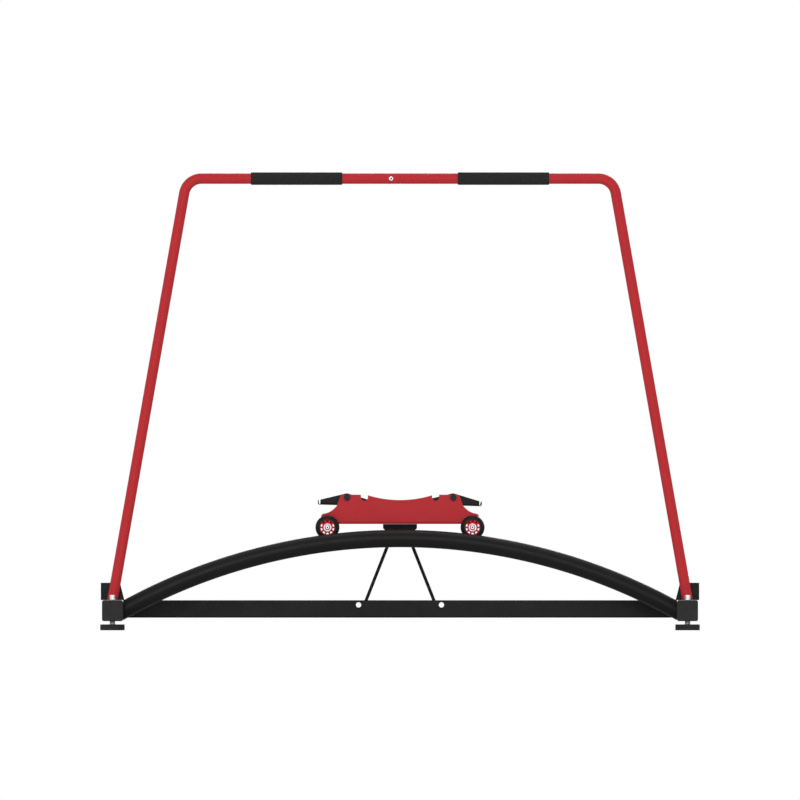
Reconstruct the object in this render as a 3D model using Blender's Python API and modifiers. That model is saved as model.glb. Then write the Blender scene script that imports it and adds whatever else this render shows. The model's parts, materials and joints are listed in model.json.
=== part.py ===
"""Arc-rail ski trainer: a four-wheeled carriage with two rocking pedals on a pair of arched rails.

Metres, +Z up. The origin is on the floor under the middle of the machine. X runs along the
travel of the carriage, and the handle frame stands at the -Y side.
"""

import math

import bmesh
import bpy
from mathutils import Matrix, Vector

# Driving dimensions: clearances
GAP = 0.0003

# Driving dimensions: crossbars, end caps and levelling feet
CROSSBAR_SPACING = 1.6432
CROSSBAR_LENGTH = 0.594
CROSSBAR_SIZE = 0.060
CROSSBAR_WALL = 0.003
CROSSBAR_CORNER = 0.0055
CAP_THICKNESS = 0.003
CAP_PLUG_DEPTH = 0.014
CAP_PLUG_WALL = 0.002
FOOT_DIAMETER = 0.070
FOOT_HEIGHT = 0.017
FOOT_CHAMFER = 0.0015
FOOT_FLOOR = 0.006
FOOT_INSET = 0.035
FOOT_SCREW_DIAMETER = 0.016
FOOT_SCREW_SHOWING = 0.009
FOOT_SCREW_ABOVE = 0.015
FOOT_SCREW_CHAMFER = 0.0015
FOOT_HEXAGON = 0.0135
FOOT_HEXAGON_HEIGHT = 0.012
FOOT_BUSH_WALL = 0.004

# Driving dimensions: rails and base beam
RAIL_DIAMETER = 0.050
RAIL_WALL = 0.0025
RAIL_CROWN_HEIGHT = 0.2622
RAIL_DROP = 0.20534
RAIL_SPACING = 0.410
BEAM_SIZE = 0.050
BEAM_WALL = 0.002
BEAM_CORNER = 0.004
BEAM_SLOT_LENGTH = 0.380
BEAM_SLOT_WIDTH = 0.016

# Driving dimensions: elastic cords, with their guides and anchors in the beam
CORD_DIAMETER = 0.0095
GUIDE_X = 0.1184
GUIDE_BORE = 0.015
GUIDE_WALL = 0.00275
GUIDE_BELOW_BEAM_TOP = 0.0134
ANCHOR_X = 0.560
ANCHOR_THICKNESS = 0.005
CORD_BULB_DIAMETER = 0.018
CORD_BULB_LENGTH = 0.020
CORD_TOP_X = 0.0204
CORD_STOP_DIAMETER = 0.018
CORD_STOP_LENGTH = 0.008

# Driving dimensions: handle frame
HANDLE_DIAMETER = 0.030
HANDLE_WALL = 0.0018
HANDLE_HEIGHT = 1.2905
HANDLE_LEAN = math.radians(10)
HANDLE_BEND_RADIUS = 0.050
HANDLE_FROM_FOOT_SCREW = 0.030
SLEEVE_LENGTH = 0.120
SLEEVE_WALL = 0.002
HANDLE_SCREW_X = -0.0254
HANDLE_SCREW_DIAMETER = 0.006
HANDLE_SCREW_HEAD = 0.0135
HANDLE_SCREW_HEAD_HEIGHT = 0.0035
HANDLE_SCREW_LENGTH = 0.014
GRIP_DIAMETER = 0.036
GRIP_LENGTH = 0.2614
GRIP_X = 0.2956
GRIP_EDGE = 0.0025

# Driving dimensions: handle brackets and their bolts
BRACKET_HEIGHT = 0.0496
BRACKET_OVERHANG = 0.0033
BRACKET_BASE_WIDTH = 0.0675
BRACKET_TOP_WIDTH = 0.0550
BRACKET_DEPTH = 0.040
BRACKET_SHEET = 0.003
LEG_BOLT_DIAMETER = 0.008
LEG_BOLT_HEAD = 0.013
LEG_BOLT_HEAD_HEIGHT = 0.0053
LEG_BOLT_LOWER = 0.014
LEG_BOLT_UPPER = 0.036
LEG_BOLT_REACH = 0.008

# Driving dimensions: wheels
WHEEL_RADIUS = 0.0343
WHEEL_WIDTH = 0.024
WHEEL_X = 0.2074
WHEEL_SEAT_RISE = 0.0224
HUB_RADIUS = 0.0224
HUB_WEB = 0.016
HUB_RIM = 0.0020
HUB_BOSS = 0.0020
HUB_WINDOWS = 10
HUB_WINDOW_SHARE = 0.58
BEARING_DIAMETER = 0.026
BEARING_BORE = 0.010
BEARING_RECESS = 0.0010
AXLE_HEAD_DIAMETER = 0.0140
AXLE_HEAD_HEIGHT = 0.0050
AXLE_SOCKET = 0.005
AXLE_NUT = 0.017
AXLE_NUT_HEIGHT = 0.008
SPACER_LENGTH = 0.0032
SPACER_DIAMETER = 0.014

# Driving dimensions: carriage frame, folded from one sheet, with heights above the wheels' centres
CARRIAGE_SHEET = 0.004
CARRIAGE_BEND = 0.003
CARRIAGE_LOW_EDGE = 0.0098
CARRIAGE_HIGH_EDGE = 0.0935
CARRIAGE_TOP_END = 0.1686
CARRIAGE_WAIST_X = 0.1814
CARRIAGE_WAIST_RISE = 0.0603
CARRIAGE_WAIST_RADIUS = 0.012
CARRIAGE_FLANK_X = 0.1997
CARRIAGE_FLANK_RISE = 0.0434
CARRIAGE_FLANK_RADIUS = 0.045
CARRIAGE_SHOULDER_X = 0.2254
CARRIAGE_SHOULDER_RISE = 0.0376
CARRIAGE_SHOULDER_RADIUS = 0.0086
CARRIAGE_SHOULDER_FOOT = 0.0240
CARRIAGE_WEB_END = 0.1795
CARRIAGE_RELIEF = 0.003
SADDLE_RISE = 0.0782
SADDLE_RADIUS = 0.312
NOTCH_X = 0.1017
NOTCH_WIDTH = 0.020
NOTCH_RISE = 0.0760
AXLE_TAB_RADIUS = 0.013

# Driving dimensions: cord block under the carriage
BLOCK_WIDTH = 0.0972
BLOCK_DEPTH = 0.060
BLOCK_HEIGHT = 0.024
BLOCK_CHAMFER = 0.0123
BLOCK_STOP_FLOOR = 0.009

# Driving dimensions: pedals
PEDAL_PIVOT_X = 0.1517
PEDAL_PIVOT_RISE = 0.0854
PEDAL_REST_TILT = math.radians(1.75)
PEDAL_WIDTH = 0.1652
PEDAL_SHEET = 0.0025
PEDAL_BEND = 0.002
PEDAL_BELOW_PIVOT = 0.0227
PEDAL_LIP_HEIGHT = 0.0137
PEDAL_CORNER_GAP = 0.005
EAR_TOP_RADIUS = 0.0120
EAR_SLOPE = math.radians(15.2)
TREAD_THICKNESS = 0.003
TREAD_MARGIN = 0.004
TREAD_CORNER = 0.010
TREAD_RIB_PITCH = 0.034
TREAD_RIB_WIDTH = 0.016
TREAD_RIB_HEIGHT = 0.0012
PIVOT_BOLT_DIAMETER = 0.010
PIVOT_BOLT_HEAD = 0.017
PIVOT_BOLT_HEAD_HEIGHT = 0.0064
PIVOT_BOLT_NUT_HEIGHT = 0.008

# Fineness of the round shapes
RAIL_STEPS = 16
RAIL_BEVEL = 5
RAIL_BORE_STEPS = 12
RAIL_BORE_BEVEL = 2
HANDLE_BEND_STEPS = 5
HANDLE_BEVEL = 5
HANDLE_BORE_BEVEL = 3
CORD_BEVEL = 2
WHEEL_STEPS = 20
ROUND_STEPS = 16
SCREW_STEPS = 12
FILLET_STEPS = 2

# Places worked out from the driving dimensions
CROSSBAR_X = CROSSBAR_SPACING / 2
CROSSBAR_INNER_X = CROSSBAR_X - CROSSBAR_SIZE / 2
CROSSBAR_BOTTOM = FOOT_HEIGHT + FOOT_SCREW_SHOWING
CROSSBAR_TOP = CROSSBAR_BOTTOM + CROSSBAR_SIZE
CROSSBAR_MIDDLE = CROSSBAR_BOTTOM + CROSSBAR_SIZE / 2
FOOT_Y = CROSSBAR_LENGTH / 2 + GAP + CAP_THICKNESS - FOOT_INSET
RAIL_RADIUS = (CROSSBAR_INNER_X**2 + RAIL_DROP**2) / (2 * RAIL_DROP)
ARC_CENTRE_Z = RAIL_CROWN_HEIGHT - RAIL_RADIUS
RAIL_Y = RAIL_SPACING / 2
BEAM_TOP = CROSSBAR_TOP
BEAM_MIDDLE = BEAM_TOP - BEAM_SIZE / 2
GUIDE_Z = BEAM_TOP - GUIDE_BELOW_BEAM_TOP
GUIDE_RADIUS = GUIDE_BORE / 2 + GUIDE_WALL
HANDLE_Y = -(FOOT_Y - HANDLE_FROM_FOOT_SCREW)
HANDLE_CORNER_X = CROSSBAR_X - (HANDLE_HEIGHT - CROSSBAR_TOP) * math.tan(HANDLE_LEAN)
LEG_BOTTOM = CROSSBAR_TOP + GAP

# The round crown of a wheel rests on the inner shoulder of a rail
CROWN_RADIUS = WHEEL_WIDTH / 2
CROWN_TO_RAIL = CROWN_RADIUS + RAIL_DIAMETER / 2 + GAP
WHEEL_REACH = RAIL_RADIUS + WHEEL_SEAT_RISE + WHEEL_RADIUS - CROWN_RADIUS
WHEEL_CENTRE_HEIGHT = ARC_CENTRE_Z + math.sqrt(WHEEL_REACH**2 - WHEEL_X**2)
WHEEL_Y = RAIL_Y - math.sqrt(CROWN_TO_RAIL**2 - WHEEL_SEAT_RISE**2)

# The carriage is built up from its wheels
PLATE_OUTER_Y = WHEEL_Y - WHEEL_WIDTH / 2 - SPACER_LENGTH
PLATE_INNER_Y = PLATE_OUTER_Y - CARRIAGE_SHEET
CARRIAGE_BOTTOM = WHEEL_CENTRE_HEIGHT + CARRIAGE_LOW_EDGE
CARRIAGE_TOP = WHEEL_CENTRE_HEIGHT + CARRIAGE_HIGH_EDGE
PEDAL_PIVOT_HEIGHT = WHEEL_CENTRE_HEIGHT + PEDAL_PIVOT_RISE
WEB_TOP = CARRIAGE_BOTTOM + CARRIAGE_SHEET
BLOCK_TOP = CARRIAGE_BOTTOM - GAP
BLOCK_BOTTOM = BLOCK_TOP - BLOCK_HEIGHT
PEDAL_HALF_LENGTH = PLATE_INNER_Y - GAP

ENDS = {"front": -1, "rear": 1}
SIDES = {"left": -1, "right": 1}


def clear_scene():
    for obj in list(bpy.data.objects):
        bpy.data.objects.remove(obj, do_unlink=True)


def new_collection(name):
    collection = bpy.data.collections.new(name)
    bpy.context.scene.collection.children.link(collection)
    return collection


def material(name, colour, roughness, metallic=0.0):
    made = bpy.data.materials.new(name)
    made.use_nodes = True
    shader = made.node_tree.nodes["Principled BSDF"]
    shader.inputs["Base Color"].default_value = (*colour, 1.0)
    shader.inputs["Roughness"].default_value = roughness
    shader.inputs["Metallic"].default_value = metallic
    made.diffuse_color = (*colour, 1.0)
    return made


clear_scene()
PARTS = new_collection("arc_ski_trainer")
CUTTERS = new_collection("cutters")

# Finishes
BLACK_STEEL = material("black_powder_coat", (0.020, 0.020, 0.021), 0.42)
RED_STEEL = material("red_powder_coat", (0.430, 0.036, 0.042), 0.38)
ZINC = material("zinc_plate", (0.62, 0.63, 0.65), 0.32, 1.0)
DARK_BOLT = material("black_oxide", (0.030, 0.036, 0.044), 0.40, 0.6)
FOAM = material("black_foam", (0.021, 0.021, 0.022), 0.90)
BLACK_PLASTIC = material("black_plastic", (0.034, 0.034, 0.036), 0.50)
TYRE = material("black_urethane", (0.018, 0.018, 0.019), 0.45)
HUB_RED = material("red_nylon", (0.560, 0.020, 0.032), 0.35)
CORD_BLACK = material("black_braid", (0.022, 0.022, 0.023), 0.85)
TREAD_RUBBER = material("tread_rubber", (0.026, 0.026, 0.027), 0.85)


def place(obj, collection, finish=None):
    """Puts an object in its collection, with its finish."""
    for old in list(obj.users_collection):
        old.objects.unlink(obj)
    collection.objects.link(obj)
    if finish is not None:
        obj.data.materials.clear()
        obj.data.materials.append(finish)
    return obj


def object_from(name, bm, at=(0, 0, 0)):
    """A new object with the mesh in bm, its origin at a point."""
    mesh = bpy.data.meshes.new(name)
    bm.to_mesh(mesh)
    bm.free()
    obj = bpy.data.objects.new(name, mesh)
    obj.location = at
    bpy.context.scene.collection.objects.link(obj)
    return obj


def joint_empty(name, at, tilt=0.0, parent=None):
    """An empty on a joint's axis, which carries the pieces that move with it."""
    empty = bpy.data.objects.new(name, None)
    empty.empty_display_size = 0.03
    empty.location = at
    empty.rotation_euler = (0, tilt, 0)
    empty.parent = parent
    return place(empty, PARTS)


def mesh_of_curve(curve_object):
    """The curve's surface as a welded mesh, in place of the curve object."""
    bpy.context.view_layer.update()
    graph = bpy.context.evaluated_depsgraph_get()
    mesh = bpy.data.meshes.new_from_object(curve_object.evaluated_get(graph))
    bm = bmesh.new()
    bm.from_mesh(mesh)
    bmesh.ops.remove_doubles(bm, verts=bm.verts, dist=1e-6)
    bpy.data.meshes.remove(mesh)
    curve = curve_object.data
    bpy.data.objects.remove(curve_object, do_unlink=True)
    bpy.data.curves.remove(curve)
    return bm


def arc(centre, radius, start, end, steps):
    """Points along an arc in a plane, its ends included, with angles in radians."""
    points = []
    for i in range(steps + 1):
        angle = start + (end - start) * i / steps
        points.append((centre[0] + radius * math.cos(angle), centre[1] + radius * math.sin(angle)))
    return points


def rounded(corners, steps=FILLET_STEPS):
    """A closed outline through (x, y, fillet radius) corners."""
    points = []
    for i, (x, y, radius) in enumerate(corners):
        here = Vector((x, y))
        if radius <= 0:
            points.append(here)
            continue
        back = Vector(corners[i - 1][:2]) - here
        ahead = Vector(corners[(i + 1) % len(corners)][:2]) - here
        half = back.angle(ahead) / 2
        setback = min(radius / math.tan(half), 0.48 * back.length, 0.48 * ahead.length)
        start = here + back.normalized() * setback
        end = here + ahead.normalized() * setback
        middle = (back.normalized() + ahead.normalized()).normalized()
        centre = here + middle * (setback / math.cos(half))
        turn = (start - centre).angle_signed(end - centre)
        for k in range(steps + 1):
            spoke = (start - centre).copy()
            spoke.rotate(Matrix.Rotation(-turn * k / steps, 2))
            points.append(centre + spoke)
    return [tuple(point) for point in points]


def box_outline(width, height, corner, steps=FILLET_STEPS):
    """A rectangle about the origin with rounded corners."""
    x, y = width / 2, height / 2
    return rounded([(x, y, corner), (-x, y, corner), (-x, -y, corner), (x, -y, corner)], steps)


# How an outline's own x, y and extrusion lie in the world
PLANES = {
    "XY": Matrix.Identity(3),
    "XZ": Matrix(((1, 0, 0), (0, 0, -1), (0, 1, 0))),
    "YZ": Matrix(((0, 0, 1), (1, 0, 0), (0, 1, 0))),
}


def prism(name, outlines, thickness, plane, at=(0, 0, 0)):
    """Flat closed outlines, the inner ones as holes, given a thickness about their plane."""
    curve = bpy.data.curves.new(name + "_outline", "CURVE")
    curve.dimensions = "2D"
    curve.fill_mode = "BOTH"
    curve.extrude = thickness / 2
    for outline in outlines:
        spline = curve.splines.new("POLY")
        spline.points.add(len(outline) - 1)
        for point, (x, y) in zip(spline.points, outline):
            point.co = (x, y, 0, 1)
        spline.use_cyclic_u = True
    curve_object = bpy.data.objects.new(name + "_outline", curve)
    bpy.context.scene.collection.objects.link(curve_object)
    bm = mesh_of_curve(curve_object)
    bmesh.ops.recalc_face_normals(bm, faces=bm.faces)
    bmesh.ops.transform(bm, matrix=PLANES[plane].to_4x4(), verts=bm.verts)
    return object_from(name, bm, at)


def hollow_prism(name, outer, inner, thickness, plane, at=(0, 0, 0)):
    """A straight tube between two outlines that have the same number of points."""
    bm = bmesh.new()
    rings = []
    for outline in (outer, inner):
        for height in (-thickness / 2, thickness / 2):
            rings.append([bm.verts.new((x, y, height)) for x, y in outline])
    outer_low, outer_high, inner_low, inner_high = rings
    around = [outer_low, outer_high, inner_high, inner_low]
    for k, ring in enumerate(around):
        before = around[k - 1]
        for i in range(len(ring)):
            bm.faces.new((before[i - 1], before[i], ring[i], ring[i - 1]))
    bmesh.ops.recalc_face_normals(bm, faces=bm.faces)
    bmesh.ops.transform(bm, matrix=PLANES[plane].to_4x4(), verts=bm.verts)
    return object_from(name, bm, at)


def swept(name, points, radius, bevel, radii=None):
    """A round bar along points, with flat ends."""
    curve = bpy.data.curves.new(name + "_path", "CURVE")
    curve.dimensions = "3D"
    curve.bevel_depth = radius
    curve.bevel_resolution = bevel
    curve.use_fill_caps = True
    spline = curve.splines.new("POLY")
    spline.points.add(len(points) - 1)
    for i, point in enumerate(points):
        spline.points[i].co = (*point, 1)
        spline.points[i].radius = radii[i] if radii else 1.0
    curve_object = bpy.data.objects.new(name + "_path", curve)
    bpy.context.scene.collection.objects.link(curve_object)
    bm = mesh_of_curve(curve_object)
    bmesh.ops.recalc_face_normals(bm, faces=bm.faces)
    return object_from(name, bm)


def bore(obj, points, radius, bevel):
    """Hollows a bar along points, its first and last stretch run on past the bar's ends."""
    first, second = Vector(points[0]), Vector(points[1])
    last, before = Vector(points[-1]), Vector(points[-2])
    start = first + (first - second).normalized() * radius
    end = last + (last - before).normalized() * radius
    cut(obj, swept(f"bore_{obj.name}", [start, *points, end], radius, bevel))


# Rotations that lay a turned shape's own +Z along a world axis
ALONG = {
    "Z": (0, 0, 0),
    "X": (0, math.pi / 2, 0),
    "Y": (-math.pi / 2, 0, 0),
    "-Y": (math.pi / 2, 0, 0),
}


def turned(name, profile, steps, along="Z", at=(0, 0, 0), closed=False):
    """A profile of (radius, height) points turned about its own Z.

    The points run down the outer side. A closed profile makes a ring, and an open one
    starts and ends on the axis.
    """
    bm = bmesh.new()
    verts = [bm.verts.new((radius, 0, height)) for radius, height in profile]
    for first, second in zip(verts, verts[1:]):
        bm.edges.new((first, second))
    if closed:
        bm.edges.new((verts[-1], verts[0]))
    obj = object_from(name, bm, at)
    obj.rotation_euler = ALONG[along]
    screw = obj.modifiers.new("turn", "SCREW")
    screw.axis = "Z"
    screw.angle = 2 * math.pi
    screw.steps = steps
    screw.render_steps = steps
    screw.use_merge_vertices = True
    screw.merge_threshold = 1e-5
    screw.use_smooth_shade = True
    return obj


def rod(name, radius, low, high, along, at, sides=SCREW_STEPS):
    """A plain round or many-sided bar between two places on its own axis."""
    bm = bmesh.new()
    bmesh.ops.create_cone(
        bm, cap_ends=True, segments=sides, radius1=radius, radius2=radius, depth=high - low
    )
    bmesh.ops.translate(bm, verts=bm.verts, vec=(0, 0, (low + high) / 2))
    obj = object_from(name, bm, at)
    obj.rotation_euler = ALONG[along]
    return obj


def box(name, size, at):
    bm = bmesh.new()
    bmesh.ops.create_cube(bm, size=1)
    bmesh.ops.scale(bm, verts=bm.verts, vec=size)
    return object_from(name, bm, at)


def combine(obj, other, operation):
    """Cuts the other object from this one, or joins it on, and puts it with the cutters."""
    modifier = obj.modifiers.new(other.name, "BOOLEAN")
    modifier.operation = operation
    modifier.solver = "EXACT"
    modifier.object = other
    place(other, CUTTERS)
    other.hide_render = True
    other.display_type = "WIRE"


def cut(obj, *others):
    for other in others:
        combine(obj, other, "DIFFERENCE")


def join(obj, *others):
    for other in others:
        combine(obj, other, "UNION")


def shade(obj):
    """Smooth shading on round stretches, with the real edges kept sharp."""
    obj.data.shade_smooth()
    obj.data.set_sharp_from_angle(angle=math.radians(35))


def add_part(obj, finish, parent=None, at_parent=False):
    """Makes the object one of the machine's own pieces, carried by its parent with its cutters.

    It stays where it is, or with at_parent its own origin goes to the parent's.
    """
    shade(obj)
    place(obj, PARTS, finish)
    if parent is None:
        return
    bpy.context.view_layer.update()
    helpers = [modifier.object for modifier in obj.modifiers if modifier.type == "BOOLEAN"]
    for item in (obj, *helpers):
        item.parent = parent
        if not at_parent:
            item.matrix_parent_inverse = parent.matrix_world.inverted()


def hex_radius(across_flats):
    return across_flats / math.sqrt(3)


def clear_of(shaft, sides=SCREW_STEPS):
    """The corner radius of a many-sided hole whose flats clear a round shaft."""
    return (shaft + GAP) / math.cos(math.pi / sides)


def ring_profile(inner, outer, low, high, edge):
    """A closed profile for a ring with chamfered outer edges."""
    return [
        (inner, high),
        (outer - edge, high),
        (outer, high - edge),
        (outer, low + edge),
        (outer - edge, low),
        (inner, low),
    ]


# Base frame


def rail_path(y, steps):
    """Points along a rail's centre line, run on into the crossbars."""
    half = math.asin((CROSSBAR_INNER_X + RAIL_DIAMETER / 2) / RAIL_RADIUS)
    upright = math.pi / 2
    line = arc((0, ARC_CENTRE_Z), RAIL_RADIUS, upright + half, upright - half, steps)
    return [(x, y, z) for x, z in line]


def rail(name, y):
    """One arched tube, its ends cut upright where they meet the crossbars."""
    obj = swept(name, rail_path(y, RAIL_STEPS), RAIL_DIAMETER / 2, RAIL_BEVEL)
    bore(obj, rail_path(y, RAIL_BORE_STEPS), RAIL_DIAMETER / 2 - RAIL_WALL, RAIL_BORE_BEVEL)
    for side, sign in SIDES.items():
        middle = CROSSBAR_INNER_X - GAP + CROSSBAR_SIZE / 2
        end = box(
            f"cut_{name}_{side}",
            (CROSSBAR_SIZE, 2 * RAIL_DIAMETER, 4 * RAIL_DIAMETER),
            (sign * middle, y, CROSSBAR_MIDDLE),
        )
        cut(obj, end)
    add_part(obj, BLACK_STEEL)


def crossbar(side, sign):
    """A square tube with the threaded bushes of its two levelling feet welded in."""
    x = sign * CROSSBAR_X
    inner = CROSSBAR_SIZE - 2 * CROSSBAR_WALL
    inner_corner = CROSSBAR_CORNER - CROSSBAR_WALL
    section = box_outline(CROSSBAR_SIZE, CROSSBAR_SIZE, CROSSBAR_CORNER)
    hollow = box_outline(inner, inner, inner_corner)
    at = (x, 0, CROSSBAR_MIDDLE)
    obj = hollow_prism(f"{side}_crossbar", section, hollow, CROSSBAR_LENGTH, "XZ", at)
    screw_radius = clear_of(FOOT_SCREW_DIAMETER / 2)
    reach = CROSSBAR_SIZE / 2
    bush_reach = reach - CROSSBAR_WALL / 2
    for end, way in ENDS.items():
        at = (x, way * FOOT_Y, CROSSBAR_MIDDLE)
        bush = rod(
            f"bush_{side}_{end}", screw_radius + FOOT_BUSH_WALL, -bush_reach, bush_reach, "Z", at
        )
        join(obj, bush)
        hole = rod(f"cut_{side}_{end}_screw", screw_radius, -2 * reach, 2 * reach, "Z", at)
        cut(obj, hole)
    add_part(obj, BLACK_STEEL)


def end_cap(side, sign, end, way):
    """A plastic plug with a hollow skirt that closes one end of a crossbar."""
    name = f"{side}_{end}_cap"
    inner = CROSSBAR_SIZE - 2 * CROSSBAR_WALL - 2 * GAP
    inner_corner = CROSSBAR_CORNER - CROSSBAR_WALL
    face_y = way * (CROSSBAR_LENGTH / 2 + GAP + CAP_THICKNESS / 2)
    outline = box_outline(CROSSBAR_SIZE, CROSSBAR_SIZE, CROSSBAR_CORNER)
    at = (sign * CROSSBAR_X, face_y, CROSSBAR_MIDDLE)
    obj = prism(name, [outline], CAP_THICKNESS, "XZ", at)
    hollow = inner - 2 * CAP_PLUG_WALL
    section = box_outline(inner, inner, inner_corner, steps=1)
    inside = box_outline(hollow, hollow, inner_corner / 2, steps=1)
    skirt_depth = CAP_PLUG_DEPTH + CAP_THICKNESS / 2
    skirt_y = face_y - way * skirt_depth / 2
    skirt_at = (sign * CROSSBAR_X, skirt_y, CROSSBAR_MIDDLE)
    join(obj, hollow_prism(f"skirt_{name}", section, inside, skirt_depth, "XZ", skirt_at))
    add_part(obj, BLACK_PLASTIC)


def base_beam():
    """A square tube with the cords' guides and anchors welded in, and a slot for the cords."""
    length = 2 * (CROSSBAR_INNER_X - GAP)
    inner = BEAM_SIZE - 2 * BEAM_WALL
    section = box_outline(BEAM_SIZE, BEAM_SIZE, BEAM_CORNER)
    hollow = box_outline(inner, inner, BEAM_CORNER - BEAM_WALL)
    obj = hollow_prism("base_beam", section, hollow, length, "YZ", (0, 0, BEAM_MIDDLE))
    half = BEAM_SIZE / 2
    for side, sign in SIDES.items():
        guide = rod(
            f"guide_{side}", GUIDE_RADIUS, -half, half, "Y", (sign * GUIDE_X, 0, GUIDE_Z)
        )
        anchor_size = (ANCHOR_THICKNESS, BEAM_SIZE - BEAM_WALL, BEAM_SIZE - BEAM_WALL)
        anchor = box(f"anchor_{side}", anchor_size, (sign * ANCHOR_X, 0, BEAM_MIDDLE))
        join(obj, guide, anchor)
        through = rod(
            f"cut_guide_{side}",
            GUIDE_BORE / 2,
            -BEAM_SIZE,
            BEAM_SIZE,
            "Y",
            (sign * GUIDE_X, 0, GUIDE_Z),
        )
        cord_z = GUIDE_Z - GUIDE_RADIUS - GAP - CORD_DIAMETER / 2
        cord_hole = rod(
            f"cut_anchor_{side}",
            clear_of(CORD_DIAMETER / 2),
            -2 * ANCHOR_THICKNESS,
            2 * ANCHOR_THICKNESS,
            "X",
            (sign * ANCHOR_X, 0, cord_z),
        )
        cut(obj, through, cord_hole)
    slot = box_outline(BEAM_SLOT_LENGTH, BEAM_SLOT_WIDTH, BEAM_SLOT_WIDTH / 2)
    slot_depth = 4 * BEAM_WALL
    cut(obj, prism("cut_slot", [slot], slot_depth, "XY", (0, 0, BEAM_TOP + BEAM_WALL)))
    add_part(obj, BLACK_STEEL)


# Elastic cords


def cord_slope():
    """The lean of a cord's free stretch from upright, tangent to its guide."""
    block_z = BLOCK_BOTTOM - GUIDE_Z
    across = GUIDE_X - CORD_TOP_X
    reach = math.hypot(across, block_z)
    wrap = GUIDE_RADIUS + GAP + CORD_DIAMETER / 2
    return math.atan2(across, block_z) - math.asin(wrap / reach)


def cord(side, sign):
    """One elastic cord, from its anchor in the beam round its guide and up to the carriage."""
    wrap = GUIDE_RADIUS + GAP + CORD_DIAMETER / 2
    slope = cord_slope()
    low = GUIDE_Z - wrap
    bulb = CORD_BULB_DIAMETER / CORD_DIAMETER
    bulb_x = ANCHOR_X + ANCHOR_THICKNESS / 2 + GAP
    neck = CORD_DIAMETER / 2
    stretch = [
        (bulb_x + CORD_BULB_LENGTH, bulb * 0.6),
        (bulb_x + CORD_BULB_LENGTH - neck, bulb),
        (bulb_x + neck, bulb),
        (bulb_x, bulb * 0.6),
        (bulb_x - GAP / 2, 1.0),
        (GUIDE_X + (ANCHOR_X - GUIDE_X) / 2, 1.0),
    ]
    route = [((sign * x, 0, low), size) for x, size in stretch]
    turn_steps = 5
    for i in range(turn_steps + 1):
        angle = -math.pi / 2 - (math.pi / 2 - slope) * i / turn_steps
        x = GUIDE_X + wrap * math.cos(angle)
        z = GUIDE_Z + wrap * math.sin(angle)
        route.append(((sign * x, 0, z), 1.0))
    (foot_x, _, foot_z), _ = route[-1]
    top_z = BLOCK_TOP - GAP - CORD_DIAMETER / 2 * math.sin(slope)
    top_x = foot_x - sign * (top_z - foot_z) * math.tan(slope)
    route.append(((top_x, 0, top_z), 1.0))
    points = [point for point, _ in route]
    radii = [size for _, size in route]
    obj = swept(f"{side}_cord", points, CORD_DIAMETER / 2, CORD_BEVEL, radii=radii)
    add_part(obj, CORD_BLACK)


# Handle frame


def leg_x(height):
    """How far from the middle a leg's centre line is at a height."""
    return HANDLE_CORNER_X + (HANDLE_HEIGHT - height) * math.tan(HANDLE_LEAN)


def handle_bore():
    """The round space inside the handle's tube, which its many-sided bore encloses."""
    return HANDLE_DIAMETER / 2 - HANDLE_WALL


def handle_tube(side, sign):
    """Half of the handle frame: a leaning leg, a bend and half of the top bar."""
    turn = math.pi / 2 - HANDLE_LEAN
    setback = HANDLE_BEND_RADIUS * math.tan(turn / 2)
    centre_x = HANDLE_CORNER_X - setback
    centre_z = HANDLE_HEIGHT - HANDLE_BEND_RADIUS
    below = LEG_BOTTOM - HANDLE_DIAMETER
    bend = arc(
        (centre_x, centre_z), HANDLE_BEND_RADIUS, HANDLE_LEAN, math.pi / 2, HANDLE_BEND_STEPS
    )
    points = [(sign * leg_x(below), HANDLE_Y, below)]
    points += [(sign * x, HANDLE_Y, z) for x, z in bend]
    points.append((sign * GAP / 2, HANDLE_Y, HANDLE_HEIGHT))
    obj = swept(f"{side}_handle_tube", points, HANDLE_DIAMETER / 2, HANDLE_BEVEL)
    bore_sides = 4 + 2 * HANDLE_BORE_BEVEL
    bore(obj, points, handle_bore() / math.cos(math.pi / bore_sides), HANDLE_BORE_BEVEL)
    foot = box(
        f"cut_{side}_leg_foot",
        (4 * HANDLE_DIAMETER, 2 * HANDLE_DIAMETER, 2 * HANDLE_DIAMETER),
        (sign * leg_x(LEG_BOTTOM), HANDLE_Y, LEG_BOTTOM - HANDLE_DIAMETER),
    )
    cut(obj, foot)
    for level, z in leg_bolt_heights().items():
        radius = clear_of(LEG_BOLT_DIAMETER / 2)
        at = (sign * leg_x(z), HANDLE_Y, z)
        cut(obj, rod(f"cut_{side}_leg_{level}", radius, 0, HANDLE_DIAMETER, "Y", at))
    if sign * HANDLE_SCREW_X > 0:
        cut(obj, handle_screw_hole(f"cut_{side}_bar"))
    add_part(obj, RED_STEEL)


def handle_screw_hole(name):
    radius = clear_of(HANDLE_SCREW_DIAMETER / 2)
    at = (HANDLE_SCREW_X, HANDLE_Y, HANDLE_HEIGHT)
    return rod(name, radius, 0, HANDLE_DIAMETER, "-Y", at)


def joint_sleeve():
    """The tube inside the top bar that joins the two halves."""
    outer = handle_bore() - GAP
    half = SLEEVE_LENGTH / 2
    profile = ring_profile(outer - SLEEVE_WALL, outer, -half, half, SLEEVE_WALL / 2)
    at = (0, HANDLE_Y, HANDLE_HEIGHT)
    obj = turned("handle_joint_sleeve", profile, SCREW_STEPS, "X", at, closed=True)
    cut(obj, handle_screw_hole("cut_sleeve"))
    add_part(obj, ZINC)


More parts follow.
